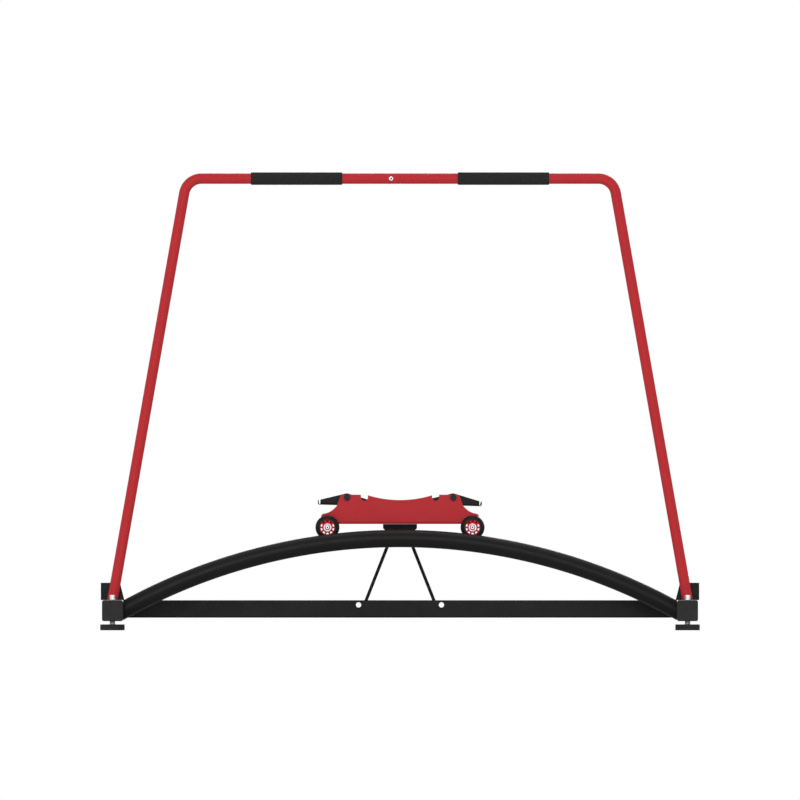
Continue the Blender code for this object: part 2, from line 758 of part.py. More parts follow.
def joint_screw():
    """The round-headed screw that locks the sleeve in the left half."""
    shank = HANDLE_SCREW_DIAMETER / 2
    head = HANDLE_SCREW_HEAD / 2
    seat = HANDLE_DIAMETER / 2 + GAP
    top = seat + HANDLE_SCREW_HEAD_HEIGHT
    dome = arc((0, seat), 1.0, math.pi / 2, 0, 4)
    profile = [(head * x, seat + HANDLE_SCREW_HEAD_HEIGHT * (z - seat)) for x, z in dome]
    profile[0] = (0, top)
    profile += [(shank, seat), (shank, top - HANDLE_SCREW_LENGTH), (0, top - HANDLE_SCREW_LENGTH)]
    at = (HANDLE_SCREW_X, HANDLE_Y, HANDLE_HEIGHT)
    obj = turned("handle_joint_screw", profile, SCREW_STEPS, "-Y", at)
    add_part(obj, ZINC)


def grip(side, sign):
    """A foam sleeve on the top bar, with rounded ends."""
    inner = clear_of(HANDLE_DIAMETER / 2, ROUND_STEPS)
    outer = GRIP_DIAMETER / 2
    half = GRIP_LENGTH / 2
    inset = outer - GRIP_EDGE
    profile = [(inner, half)]
    profile += arc((inset, half - GRIP_EDGE), GRIP_EDGE, math.pi / 2, 0, 2)
    profile += arc((inset, GRIP_EDGE - half), GRIP_EDGE, 0, -math.pi / 2, 2)
    profile.append((inner, -half))
    at = (sign * GRIP_X, HANDLE_Y, HANDLE_HEIGHT)
    obj = turned(f"{side}_grip", profile, ROUND_STEPS, "X", at, closed=True)
    add_part(obj, FOAM)


def leg_bolt_heights():
    return {"lower": CROSSBAR_TOP + LEG_BOLT_LOWER, "upper": CROSSBAR_TOP + LEG_BOLT_UPPER}


def rail_envelope(name, sign):
    """The space that the front rail needs near its end, with a gap round it."""
    upright = math.pi / 2
    end = math.asin((CROSSBAR_INNER_X + RAIL_DIAMETER) / RAIL_RADIUS)
    start = math.asin((CROSSBAR_INNER_X - 2 * RAIL_DIAMETER) / RAIL_RADIUS)
    line = arc((0, ARC_CENTRE_Z), RAIL_RADIUS, upright - start, upright - end, 6)
    sides = 4 + 2 * RAIL_BEVEL
    points = [(sign * x, -RAIL_Y, z) for x, z in line]
    return swept(name, points, clear_of(RAIL_DIAMETER / 2, sides), RAIL_BEVEL)


def handle_bracket(side, sign):
    """A folded channel that stands on the crossbar behind the leg, its inner side sloping.

    Its foot is coped round the front rail.
    """
    outer_x = CROSSBAR_X + CROSSBAR_SIZE / 2 + BRACKET_OVERHANG
    front_y = HANDLE_Y + HANDLE_DIAMETER / 2 + GAP
    rear_y = front_y + BRACKET_DEPTH
    low = CROSSBAR_TOP + GAP
    levels = [(low, BRACKET_BASE_WIDTH), (low + BRACKET_HEIGHT, BRACKET_TOP_WIDTH)]
    fold = 2 * BRACKET_SHEET
    bm = bmesh.new()
    rows = []
    for z, width in levels:
        inner_x = outer_x - width
        plan = [
            (outer_x, rear_y),
            (outer_x, front_y + fold),
            *arc((outer_x - fold, front_y + fold), fold, 0, -math.pi / 2, FILLET_STEPS)[1:],
            *arc((inner_x + fold, front_y + fold), fold, -math.pi / 2, -math.pi, FILLET_STEPS),
            (inner_x, rear_y),
        ]
        rows.append([bm.verts.new((sign * x, y, z)) for x, y in plan])
    for i in range(len(rows[0]) - 1):
        bm.faces.new((rows[0][i], rows[0][i + 1], rows[1][i + 1], rows[1][i]))
    if sign > 0:
        bmesh.ops.reverse_faces(bm, faces=bm.faces)
    obj = object_from(f"{side}_handle_bracket", bm)
    shell = obj.modifiers.new("sheet", "SOLIDIFY")
    shell.thickness = BRACKET_SHEET
    shell.offset = -1
    for level, z in leg_bolt_heights().items():
        radius = clear_of(LEG_BOLT_DIAMETER / 2)
        at = (sign * leg_x(z), front_y, z)
        reach = BRACKET_DEPTH / 2
        cut(obj, rod(f"cut_{side}_bracket_{level}", radius, -reach / 2, reach, "Y", at))
    cut(obj, rail_envelope(f"cut_{side}_bracket_foot", sign))
    add_part(obj, BLACK_STEEL)


def leg_bolt(side, sign, level, z):
    """A hexagon bolt from behind the bracket into the back wall of the leg."""
    seat = HANDLE_DIAMETER / 2 + GAP + BRACKET_SHEET + GAP
    tip = seat - BRACKET_SHEET - LEG_BOLT_REACH
    at = (sign * leg_x(z), HANDLE_Y, z)
    name = f"{side}_leg_bolt_{level}"
    head = rod(name, hex_radius(LEG_BOLT_HEAD), seat, seat + LEG_BOLT_HEAD_HEIGHT, "Y", at, 6)
    overlap = LEG_BOLT_HEAD_HEIGHT / 2
    shank = rod(f"shank_{name}", LEG_BOLT_DIAMETER / 2, tip, seat + overlap, "Y", at)
    join(head, shank)
    add_part(head, ZINC)


# Levelling feet


def levelling_foot(side, sign, end, way):
    """A round foot with its screw, which the crossbar's bush carries."""
    x, y = sign * CROSSBAR_X, way * FOOT_Y
    carrier = joint_empty(f"{side}_{end}_foot_axis", (x, y, 0))
    radius = FOOT_DIAMETER / 2
    socket = clear_of(FOOT_SCREW_DIAMETER / 2, ROUND_STEPS)
    chamfer = FOOT_CHAMFER
    profile = [
        (0, FOOT_FLOOR),
        (socket, FOOT_FLOOR),
        (socket, FOOT_HEIGHT),
        (radius - chamfer, FOOT_HEIGHT),
        (radius, FOOT_HEIGHT - chamfer),
        (radius, chamfer),
        (radius - chamfer, 0),
        (0, 0),
    ]
    pad = turned(f"{side}_{end}_foot_pad", profile, ROUND_STEPS, "Z", (x, y, 0))
    add_part(pad, BLACK_PLASTIC, carrier)
    name = f"{side}_{end}_foot_screw"
    shank = FOOT_SCREW_DIAMETER / 2
    top = CROSSBAR_TOP + FOOT_SCREW_ABOVE
    shoulder = top - FOOT_HEXAGON_HEIGHT
    edge = FOOT_SCREW_CHAMFER
    low = FOOT_FLOOR + GAP
    screw_profile = [
        (0, shoulder),
        (shank - edge, shoulder),
        (shank, shoulder - edge),
        (shank, low),
        (0, low),
    ]
    screw = turned(name, screw_profile, SCREW_STEPS, "Z", (x, y, 0))
    across = hex_radius(FOOT_HEXAGON)
    hexagon = rod(f"hexagon_{name}", across, shoulder - edge, top, "Z", (x, y, 0), 6)
    hexagon.rotation_euler = (0, 0, math.radians(30))
    join(screw, hexagon)
    add_part(screw, ZINC, carrier)


# Carriage


def saddle_height(x):
    """Height of the side plate's hollow top edge between the notches."""
    dip = SADDLE_RADIUS - math.sqrt(SADDLE_RADIUS**2 - x**2)
    return WHEEL_CENTRE_HEIGHT + SADDLE_RISE + dip


def side_plate_outline():
    """One side plate of the carriage, seen from the front."""
    notch_in = NOTCH_X - NOTCH_WIDTH / 2
    notch_out = NOTCH_X + NOTCH_WIDTH / 2
    notch_z = WHEEL_CENTRE_HEIGHT + NOTCH_RISE + NOTCH_WIDTH / 2
    waist_z = WHEEL_CENTRE_HEIGHT + CARRIAGE_WAIST_RISE
    flank_z = WHEEL_CENTRE_HEIGHT + CARRIAGE_FLANK_RISE
    shoulder_z = WHEEL_CENTRE_HEIGHT + CARRIAGE_SHOULDER_RISE
    shoulder_low = WHEEL_CENTRE_HEIGHT + CARRIAGE_SHOULDER_FOOT
    saddle_steps = 4
    half = []
    for i in range(saddle_steps + 1):
        x = notch_in * i / saddle_steps
        half.append((x, saddle_height(x)))
    half += arc((NOTCH_X, notch_z), NOTCH_WIDTH / 2, math.pi, 2 * math.pi, 5)
    half.append((notch_out, CARRIAGE_TOP))
    tab_side = AXLE_TAB_RADIUS * math.cos(math.radians(20))
    tab_rise = AXLE_TAB_RADIUS * math.sin(math.radians(20))
    shoulder = rounded(
        [
            (notch_out, CARRIAGE_TOP, 0),
            (CARRIAGE_TOP_END, CARRIAGE_TOP, 0.002),
            (CARRIAGE_WAIST_X, waist_z, CARRIAGE_WAIST_RADIUS),
            (CARRIAGE_FLANK_X, flank_z, CARRIAGE_FLANK_RADIUS),
            (CARRIAGE_SHOULDER_X, shoulder_z, CARRIAGE_SHOULDER_RADIUS),
            (CARRIAGE_SHOULDER_X, shoulder_low, 0.004),
            (WHEEL_X + tab_side, WHEEL_CENTRE_HEIGHT + tab_rise, 0),
        ],
        steps=3,
    )
    half += shoulder[1:-1]
    axle = (WHEEL_X, WHEEL_CENTRE_HEIGHT)
    half += arc(axle, AXLE_TAB_RADIUS, math.radians(20), -math.pi, 7)
    relief_x = CARRIAGE_WEB_END + CARRIAGE_RELIEF
    relief_z = CARRIAGE_BOTTOM + CARRIAGE_SHEET + 2 * CARRIAGE_BEND
    half += [
        (WHEEL_X - AXLE_TAB_RADIUS, CARRIAGE_BOTTOM),
        (relief_x, CARRIAGE_BOTTOM),
        (relief_x, relief_z),
    ]
    other = [(-x, z) for x, z in reversed(half) if x > 0]
    return half + other


def carriage_frame(parent):
    """One folded sheet: two side plates joined by a web, with bend reliefs at the fold's ends."""
    outline = side_plate_outline()
    plate_y = PLATE_OUTER_Y - CARRIAGE_SHEET / 2
    obj = prism("carriage_frame", [outline], CARRIAGE_SHEET, "XZ", (0, -plate_y, 0))
    rear = prism("carriage_rear_plate", [outline], CARRIAGE_SHEET, "XZ", (0, plate_y, 0))
    outer = PLATE_OUTER_Y
    inner = PLATE_INNER_Y
    rise = WEB_TOP + 5 * CARRIAGE_BEND
    bend_out = CARRIAGE_BEND + CARRIAGE_SHEET
    channel = rounded(
        [
            (-outer, rise, 0),
            (-outer, CARRIAGE_BOTTOM, bend_out),
            (outer, CARRIAGE_BOTTOM, bend_out),
            (outer, rise, 0),
            (inner, rise, 0),
            (inner, WEB_TOP, CARRIAGE_BEND),
            (-inner, WEB_TOP, CARRIAGE_BEND),
            (-inner, rise, 0),
        ]
    )
    join(obj, prism("carriage_web", [channel], 2 * CARRIAGE_WEB_END, "YZ"), rear)
    reach = 2 * PLATE_OUTER_Y
    axle_radius = clear_of(BEARING_BORE / 2)
    pivot_radius = clear_of(PIVOT_BOLT_DIAMETER / 2)
    for side, sign in SIDES.items():
        axle_at = (sign * WHEEL_X, 0, WHEEL_CENTRE_HEIGHT)
        pivot_at = (sign * PEDAL_PIVOT_X, 0, PEDAL_PIVOT_HEIGHT)
        axle = rod(f"cut_axles_{side}", axle_radius, -reach, reach, "Y", axle_at)
        pivot = rod(f"cut_pivots_{side}", pivot_radius, -reach, reach, "Y", pivot_at)
        cut(obj, axle, pivot)
    add_part(obj, RED_STEEL, parent)


def cord_block(parent):
    """The block under the web that holds the cords' upper ends in stepped bores."""
    half = BLOCK_WIDTH / 2
    outline = [
        (-half, BLOCK_TOP),
        (-half, BLOCK_BOTTOM + BLOCK_CHAMFER),
        (BLOCK_CHAMFER - half, BLOCK_BOTTOM),
        (half - BLOCK_CHAMFER, BLOCK_BOTTOM),
        (half, BLOCK_BOTTOM + BLOCK_CHAMFER),
        (half, BLOCK_TOP),
    ]
    obj = prism("cord_block", [outline], BLOCK_DEPTH, "XZ")
    slope = cord_slope()
    for side, sign in SIDES.items():
        at = (sign * CORD_TOP_X, 0, BLOCK_BOTTOM)
        reach = 2 * BLOCK_HEIGHT
        through = rod(f"cut_{side}_cord_bore", clear_of(CORD_DIAMETER / 2), -reach, reach, "Z", at)
        seat_radius = clear_of(CORD_STOP_DIAMETER / 2)
        seat = rod(f"cut_{side}_stop_bore", seat_radius, BLOCK_STOP_FLOOR, reach, "Z", at)
        for helper in (through, seat):
            helper.rotation_euler = (0, -sign * slope, 0)
            cut(obj, helper)
    add_part(obj, BLACK_PLASTIC, parent)


def cord_stop(side, sign, parent):
    """The crimped ring that keeps a cord's end in the block."""
    inner = clear_of(CORD_DIAMETER / 2)
    low = BLOCK_STOP_FLOOR + GAP
    high = low + CORD_STOP_LENGTH
    profile = ring_profile(inner, CORD_STOP_DIAMETER / 2, low, high, CORD_STOP_LENGTH / 8)
    at = (sign * CORD_TOP_X, 0, BLOCK_BOTTOM)
    obj = turned(f"{side}_cord_stop", profile, SCREW_STEPS, "Z", at, closed=True)
    obj.rotation_euler = (0, -sign * cord_slope(), 0)
    add_part(obj, ZINC, parent)


def wheel(side, sign, end, way, parent):
    """A wheel with a round-crowned tyre, a windowed hub and its bearing, all on one axis."""
    at = (sign * WHEEL_X, way * WHEEL_Y, WHEEL_CENTRE_HEIGHT)
    bpy.context.view_layer.update()
    local = Vector(at) - parent.matrix_world.translation
    axis = joint_empty(f"{side}_{end}_wheel_axis", local, parent=parent)
    along = "-Y" if way < 0 else "Y"
    name = f"{side}_{end}"
    half = WHEEL_WIDTH / 2

    seat = HUB_RADIUS + GAP
    crown_centre = WHEEL_RADIUS - CROWN_RADIUS
    first = math.acos((seat - crown_centre) / CROWN_RADIUS)
    tyre_profile = arc((crown_centre, 0), CROWN_RADIUS, first, -first, 6)
    tyre = turned(f"{name}_tyre", tyre_profile, WHEEL_STEPS, along, at, closed=True)
    add_part(tyre, TYRE, axis)

    inner = clear_of(BEARING_DIAMETER / 2, WHEEL_STEPS)
    web = HUB_WEB / 2
    rim = HUB_RADIUS - HUB_RIM
    hub_profile = [
        (inner, half),
        (rim, web),
        (HUB_RADIUS, half - GAP),
        (HUB_RADIUS, GAP - half),
        (rim, -web),
        (inner, -half),
    ]
    hub = turned(f"{name}_hub", hub_profile, WHEEL_STEPS, along, at, closed=True)
    cut(hub, hub_windows(f"cut_{name}_windows", at))
    add_part(hub, HUB_RED, axis)

    inner = clear_of(BEARING_BORE / 2, ROUND_STEPS)
    outer = BEARING_DIAMETER / 2
    bearing_profile = [
        (inner, half),
        ((inner + outer) / 2, half - BEARING_RECESS),
        (outer, half),
        (outer, -half),
        (inner, -half),
    ]
    bearing = turned(f"{name}_wheel_bearing", bearing_profile, ROUND_STEPS, along, at, closed=True)
    add_part(bearing, ZINC, axis)


def hub_windows(name, at):
    """Ten wedge-shaped windows as one cutter."""
    inner = BEARING_DIAMETER / 2 + HUB_BOSS
    outer = HUB_RADIUS - HUB_RIM - GAP
    pitch = 2 * math.pi / HUB_WINDOWS
    outlines = []
    for i in range(HUB_WINDOWS):
        middle = math.pi / 2 + i * pitch
        half = pitch * HUB_WINDOW_SHARE / 2
        narrow = half * 0.8
        outlines.append(
            [
                *arc((0, 0), outer, middle - half, middle + half, 1),
                *arc((0, 0), inner, middle + narrow, middle - narrow, 1),
            ]
        )
    return prism(name, outlines, 2 * WHEEL_WIDTH, "XZ", at)


def wheel_axle(side, sign, end, way, parent):
    """The axle bolt, with its spacer against the side plate and its nut inside."""
    name = f"{side}_{end}_wheel_axle"
    at = (sign * WHEEL_X, way * WHEEL_Y, WHEEL_CENTRE_HEIGHT)
    along = "-Y" if way < 0 else "Y"
    half = WHEEL_WIDTH / 2
    shank = BEARING_BORE / 2
    head = AXLE_HEAD_DIAMETER / 2
    seat = half + GAP
    top = seat + AXLE_HEAD_HEIGHT
    plate_out = -half - SPACER_LENGTH
    plate_in = plate_out - CARRIAGE_SHEET
    nut_low = plate_in - GAP - AXLE_NUT_HEIGHT
    tip = nut_low - 0.002
    profile = [
        (0, top),
        (head * 0.7, top),
        (head, seat + AXLE_HEAD_HEIGHT / 2),
        (head, seat),
        (shank, seat),
        (shank, -half - GAP),
        (SPACER_DIAMETER / 2, -half - GAP),
        (SPACER_DIAMETER / 2, plate_out + GAP),
        (shank, plate_out + GAP),
        (shank, tip),
        (0, tip),
    ]
    obj = turned(name, profile, SCREW_STEPS, along, at)
    nut = rod(f"nut_{name}", hex_radius(AXLE_NUT), nut_low, plate_in - GAP, along, at, 6)
    join(obj, nut)
    floor = seat + AXLE_HEAD_HEIGHT / 2
    above = top + AXLE_HEAD_HEIGHT
    cut(obj, rod(f"cut_{name}_socket", hex_radius(AXLE_SOCKET), floor, above, along, at, 6))
    add_part(obj, ZINC, parent)


# Pedals


def ear_outline():
    """The pedal's end ear about its pivot: a round top, two even slopes and upright tips."""
    tip = PEDAL_WIDTH / 2 - PEDAL_SHEET - PEDAL_CORNER_GAP + PEDAL_BEND / 4
    top = EAR_TOP_RADIUS / math.cos(EAR_SLOPE) - tip * math.tan(EAR_SLOPE)
    low = PEDAL_SHEET + 2 * PEDAL_BEND - PEDAL_BELOW_PIVOT
    crest = arc((0, 0), EAR_TOP_RADIUS, math.pi / 2 - EAR_SLOPE, math.pi / 2 + EAR_SLOPE, 3)
    return [(tip, low), (tip, top), *crest, (-tip, top), (-tip, low)]


def pedal_pan(side, parent):
    """The pressed pedal: a tread sheet with turned-up lips and an ear at each end."""
    low = -PEDAL_BELOW_PIVOT
    floor = low + PEDAL_SHEET
    ear_y = PEDAL_HALF_LENGTH - PEDAL_SHEET / 2
    name = f"{side}_pedal_pan"
    half = PEDAL_WIDTH / 2
    lip = low + PEDAL_LIP_HEIGHT
    bend_out = PEDAL_BEND + PEDAL_SHEET
    inner = half - PEDAL_SHEET
    tray = rounded(
        [
            (-half, lip, 0),
            (-half, low, bend_out),
            (half, low, bend_out),
            (half, lip, 0),
            (inner, lip, 0),
            (inner, floor, PEDAL_BEND),
            (-inner, floor, PEDAL_BEND),
            (-inner, lip, 0),
        ]
    )
    tray_half = PEDAL_HALF_LENGTH - PEDAL_CORNER_GAP - PEDAL_SHEET
    obj = prism(name, [tray], 2 * tray_half, "XZ")
    ear_rise = low + 2 * bend_out
    reach = PEDAL_HALF_LENGTH
    folded = rounded(
        [
            (-reach, ear_rise, 0),
            (-reach, low, bend_out),
            (reach, low, bend_out),
            (reach, ear_rise, 0),
            (reach - PEDAL_SHEET, ear_rise, 0),
            (reach - PEDAL_SHEET, floor, PEDAL_BEND),
            (PEDAL_SHEET - reach, floor, PEDAL_BEND),
            (PEDAL_SHEET - reach, ear_rise, 0),
        ]
    )
    ear = ear_outline()
    ear_tip = ear[0][0]
    join(obj, prism(f"{name}_fold", [folded], 2 * ear_tip, "YZ"))
    for end, way in ENDS.items():
        join(obj, prism(f"{name}_{end}_ear", [ear], PEDAL_SHEET, "XZ", (0, way * ear_y, 0)))
    radius = clear_of(PIVOT_BOLT_DIAMETER / 2)
    cut(obj, rod(f"cut_{name}_pivot", radius, -2 * ear_y, 2 * ear_y, "Y", (0, 0, 0)))
    add_part(obj, BLACK_STEEL, parent, at_parent=True)


def pedal_tread(side, parent):
    """The ribbed anti-slip mat on a pedal."""
    width = PEDAL_WIDTH - 2 * (PEDAL_SHEET + PEDAL_BEND + TREAD_MARGIN)
    length = 2 * (PEDAL_HALF_LENGTH - PEDAL_SHEET - PEDAL_BEND - TREAD_MARGIN)
    low = PEDAL_SHEET - PEDAL_BELOW_PIVOT + GAP
    at = (0, 0, low + TREAD_THICKNESS / 2)
    mat = box_outline(width, length, TREAD_CORNER)
    obj = prism(f"{side}_pedal_tread", [mat], TREAD_THICKNESS, "XY", at)
    count = int((length - 2 * TREAD_CORNER) / TREAD_RIB_PITCH)
    start = -(count - 1) / 2 * TREAD_RIB_PITCH
    rib_low = low + TREAD_THICKNESS / 2
    rib_high = low + TREAD_THICKNESS + TREAD_RIB_HEIGHT
    half_base = TREAD_RIB_WIDTH / 2
    half_top = half_base - TREAD_RIB_HEIGHT
    section_low = rib_low - (rib_low + rib_high) / 2
    for i in range(count):
        y = start + i * TREAD_RIB_PITCH
        section = [
            (-half_base, section_low),
            (half_base, section_low),
            (half_top, -section_low),
            (-half_top, -section_low),
        ]
        middle = (0, y, (rib_low + rib_high) / 2)
        rib = prism(f"{side}_rib_{i}", [section], width - 2 * TREAD_CORNER, "YZ", middle)
        join(obj, rib)
    add_part(obj, TREAD_RUBBER, parent, at_parent=True)


def pivot_bolt(side, sign, end, way, parent):
    """A hexagon bolt through the side plate and the pedal's ear, with its nut inside."""
    name = f"{side}_{end}_pivot_bolt"
    at = (sign * PEDAL_PIVOT_X, 0, PEDAL_PIVOT_HEIGHT)
    along = "-Y" if way < 0 else "Y"
    seat = PLATE_OUTER_Y + GAP
    head = rod(name, hex_radius(PIVOT_BOLT_HEAD), seat, seat + PIVOT_BOLT_HEAD_HEIGHT, along, at, 6)
    ear_in = PEDAL_HALF_LENGTH - PEDAL_SHEET - GAP
    nut_in = ear_in - PIVOT_BOLT_NUT_HEIGHT
    shank = rod(
        f"shank_{name}", PIVOT_BOLT_DIAMETER / 2, nut_in - 0.002, seat + 0.002, along, at
    )
    nut = rod(f"nut_{name}", hex_radius(PIVOT_BOLT_HEAD), nut_in, ear_in, along, at, 6)
    join(head, shank, nut)
    add_part(head, DARK_BOLT, parent)


def pedal(side, sign, carriage):
    """One rocking pedal on its own axis."""
    bpy.context.view_layer.update()
    pivot = Vector((sign * PEDAL_PIVOT_X, 0, PEDAL_PIVOT_HEIGHT))
    local = pivot - carriage.matrix_world.translation
    axis = joint_empty(f"{side}_pedal_axis", local, PEDAL_REST_TILT, carriage)
    pedal_pan(side, axis)
    pedal_tread(side, axis)
    for end, way in ENDS.items():
        pivot_bolt(side, sign, end, way, carriage)


def build():
    for end, way in ENDS.items():
        rail(f"{end}_rail", way * RAIL_Y)
    base_beam()
    joint_sleeve()
    joint_screw()
    for side, sign in SIDES.items():
        crossbar(side, sign)
        cord(side, sign)
        handle_tube(side, sign)
        grip(side, sign)
        handle_bracket(side, sign)
        for level, z in leg_bolt_heights().items():
            leg_bolt(side, sign, level, z)
        for end, way in ENDS.items():
            end_cap(side, sign, end, way)
            levelling_foot(side, sign, end, way)
    carriage = joint_empty("carriage_arc_axis", (0, 0, ARC_CENTRE_Z))
    bpy.context.view_layer.update()
    carriage_frame(carriage)
    cord_block(carriage)
    for side, sign in SIDES.items():
        cord_stop(side, sign, carriage)
        pedal(side, sign, carriage)
        for end, way in ENDS.items():
            wheel(side, sign, end, way, carriage)
            wheel_axle(side, sign, end, way, carriage)


build()
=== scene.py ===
"""Looks of the arc-rail ski trainer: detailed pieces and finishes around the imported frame.

Metres, +Z up, in the frame's own axes: X runs along the carriage's travel and the handle
frame stands at the -Y side. Every piece's mesh is stored in place, in those axes.
"""

import json
import math

import bmesh
import bpy
import numpy as np
from mathutils import Matrix, Vector


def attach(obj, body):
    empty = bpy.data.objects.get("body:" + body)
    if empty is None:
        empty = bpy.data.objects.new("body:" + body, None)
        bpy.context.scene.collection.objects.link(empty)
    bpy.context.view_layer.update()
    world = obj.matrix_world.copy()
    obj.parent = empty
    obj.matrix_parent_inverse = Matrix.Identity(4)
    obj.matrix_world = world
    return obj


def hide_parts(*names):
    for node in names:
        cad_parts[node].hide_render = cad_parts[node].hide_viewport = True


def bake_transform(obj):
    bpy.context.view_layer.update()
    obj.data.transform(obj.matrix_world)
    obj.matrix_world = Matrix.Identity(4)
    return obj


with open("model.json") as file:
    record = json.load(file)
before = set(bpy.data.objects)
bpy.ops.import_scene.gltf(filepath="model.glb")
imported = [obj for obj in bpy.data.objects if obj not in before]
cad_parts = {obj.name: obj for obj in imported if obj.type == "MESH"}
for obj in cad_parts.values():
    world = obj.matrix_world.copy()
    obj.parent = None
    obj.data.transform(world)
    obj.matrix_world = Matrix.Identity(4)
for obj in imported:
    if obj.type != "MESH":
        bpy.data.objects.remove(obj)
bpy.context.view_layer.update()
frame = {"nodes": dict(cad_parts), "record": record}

SIDES = {"left": -1, "right": 1}
ENDS = {"front": -1, "rear": 1}
UP = math.pi / 2
TURN = 2 * math.pi

# Sizes that the pieces share with the solids that they stand for
GAP = 0.0003
CROSSBAR_X = 0.8216
CROSSBAR_SIZE = 0.060
CROSSBAR_WALL = 0.003
CROSSBAR_CORNER = 0.0055
CROSSBAR_LENGTH = 0.594
CROSSBAR_TOP = 0.086
CROSSBAR_MIDDLE = 0.056
CROSSBAR_INNER_X = CROSSBAR_X - CROSSBAR_SIZE / 2
TUBE_END_X = CROSSBAR_INNER_X - GAP
BUSH_RADIUS = 0.0122
BUSH_HOLE = 0.0123
CAP_Y = 0.2988
FOOT_Y = 0.2653
PAD_RADIUS = 0.0350
RAIL_RADIUS = (CROSSBAR_INNER_X**2 + 0.20534**2) / (2 * 0.20534)
ARC_CENTRE_Z = 0.2622 - RAIL_RADIUS
RAIL_Y = 0.205
TUBE = 0.025
HANDLE_Y = -0.2353
HANDLE_HEIGHT = 1.2905
HANDLE_LEAN = math.radians(10)
HANDLE_CORNER_X = CROSSBAR_X - (HANDLE_HEIGHT - CROSSBAR_TOP) * math.tan(HANDLE_LEAN)
HANDLE_TUBE = 0.015
HANDLE_BORE = 0.0132
HANDLE_BEND = 0.050
JOINT_SCREW_X = -0.0254
GRIP_X = 0.2956
GRIP_LENGTH = 0.2614
GRIP_RADIUS = 0.018
BRACKET_OUTER_X = 0.8549
BRACKET_DEPTH = 0.040
BRACKET_HEIGHT = 0.0496
BRACKET_SHEET = 0.003
BEAM_Z = 0.061
BEAM_SIZE = 0.050
SLOT_LENGTH = 0.380
SLOT_WIDTH = 0.016
GUIDE_X = 0.1184
GUIDE_Z = 0.0726
GUIDE_RADIUS = 0.01025
GUIDE_BORE = 0.0075
ANCHOR_X = 0.560
ANCHOR_RADIUS = 0.0225
ANCHOR_SHEET = 0.005
CORD = 0.00475
CORD_BULB = 0.0088
CORD_BULB_LENGTH = 0.020
CORD_LOW_Z = GUIDE_Z - GUIDE_RADIUS - GAP - CORD
CORD_TOP_X = 0.0204
CORD_LEAN = math.radians(21.513)
WHEEL_X = 0.2074
WHEEL_Y = 0.175175
WHEEL_Z = 0.293996
HUB_RADIUS = 0.0227
TYRE_RING = 0.0223
TYRE_CROWN = 0.012
PLATE_Y = 0.159975
PLATE_SHEET = 0.004
PLATE_BEND = 0.007
CARRIAGE_BOTTOM = 0.303796
CARRIAGE_TOP = 0.387496
SADDLE_RADIUS = 0.312
NOTCH_X = 0.1017
NOTCH_RADIUS = 0.010
BLOCK_BOTTOM = 0.279496
BLOCK_TOP = 0.303496
BLOCK_HEIGHT = 0.024
BLOCK_WIDTH = 0.0972
BLOCK_DEPTH = 0.060
PIVOT_X = 0.1517
PIVOT_Z = 0.379396
SHEET_HOLE = 0.0053
PEDAL_HALF = 0.155675
PEDAL_WIDTH = 0.1652
PAN_LOW = -0.0227
PAN_BEND = 0.0045
PAN_SHEET = 0.0025
EAR_RADIUS = 0.0120
EAR_SLOPE = math.radians(15.2)
TILT = math.radians(1.75)

# Small sizes of the looks
THROUGH = 0.04
TUBE_EDGE = 0.0004
WELD = 0.0022
WELD_SET_BACK = 0.0006
FLUTES = 48
FLUTE_DEPTH = 0.0009
LEVEL_PITCH = 0.002
SHARP_ANGLE = 32
FACET_SIDES = 72


# Meshes as (points, faces)


def around(sides):
    """Angles spread evenly round a circle."""
    return np.arange(sides) * TURN / sides


def lofted(rings, looped=False):
    """Rings of points joined one after the other, closed by flat ends or back to the first."""
    rings = np.asarray(rings, float)
    count, sides = rings.shape[:2]
    index = np.arange(count * sides).reshape(count, sides)
    faces = []
    for i in range(count if looped else count - 1):
        low, high = index[i], index[(i + 1) % count]
        quads = np.stack([low, np.roll(low, -1), np.roll(high, -1), high], 1)
        faces.extend(quads.tolist())
    if not looped:
        faces.append(index[0][::-1].tolist())
        faces.append(index[-1].tolist())
    return rings.reshape(-1, 3), faces


def stack(rows, sides, looped=False):
    """Rings about Z, one for each (radius, height); both may vary round the ring."""
    turn = around(sides)
    rings = []
    for radius, height in rows:
        radius = np.broadcast_to(radius, sides)
        height = np.broadcast_to(height, sides)
        rings.append(np.stack([radius * np.cos(turn), radius * np.sin(turn), height], 1))
    return lofted(rings, looped)


def rod(radius, low, high, sides=64):
    """A plain cylinder about Z."""
    return stack([(radius, low), (radius, high)], sides)


def prism(outline, thickness):
    """An outline given a thickness along Z, half to either side."""
    low = [(x, y, -thickness / 2) for x, y in outline]
    high = [(x, y, thickness / 2) for x, y in outline]
    return lofted([low, high])


def merged(*forms):
    """Several forms as one."""
    points, faces, start = [], [], 0
    for form_points, form_faces in forms:
        points.append(form_points)
        faces.extend([index + start for index in face] for face in form_faces)
        start += len(form_points)
    return np.concatenate(points), faces


def moved(form, matrix):
    points, faces = form
    matrix = np.array(matrix)
    return points @ matrix[:3, :3].T + matrix[:3, 3], faces


def mirrored(form):
    """The form on the other side of the machine."""
    points, faces = form
    return points * (-1, 1, 1), [face[::-1] for face in faces]


# How a form's own x, y and z lie in the machine's axes
FRAMES = {
    "Z": Matrix.Identity(3),
    "Y": Matrix(((1, 0, 0), (0, 0, 1), (0, -1, 0))),
    "-Y": Matrix(((1, 0, 0), (0, 0, -1), (0, 1, 0))),
    "X": Matrix(((0, 0, 1), (1, 0, 0), (0, 1, 0))),
}


def laid(form, along, at):
    """The form with its own Z along an axis, at a place."""
    return moved(form, Matrix.Translation(at) @ FRAMES[along].to_4x4())


def facing(way):
    """The axis that points out of the machine, at the front or the rear."""
    return "-Y" if way < 0 else "Y"


# Outlines as lists of (x, y)


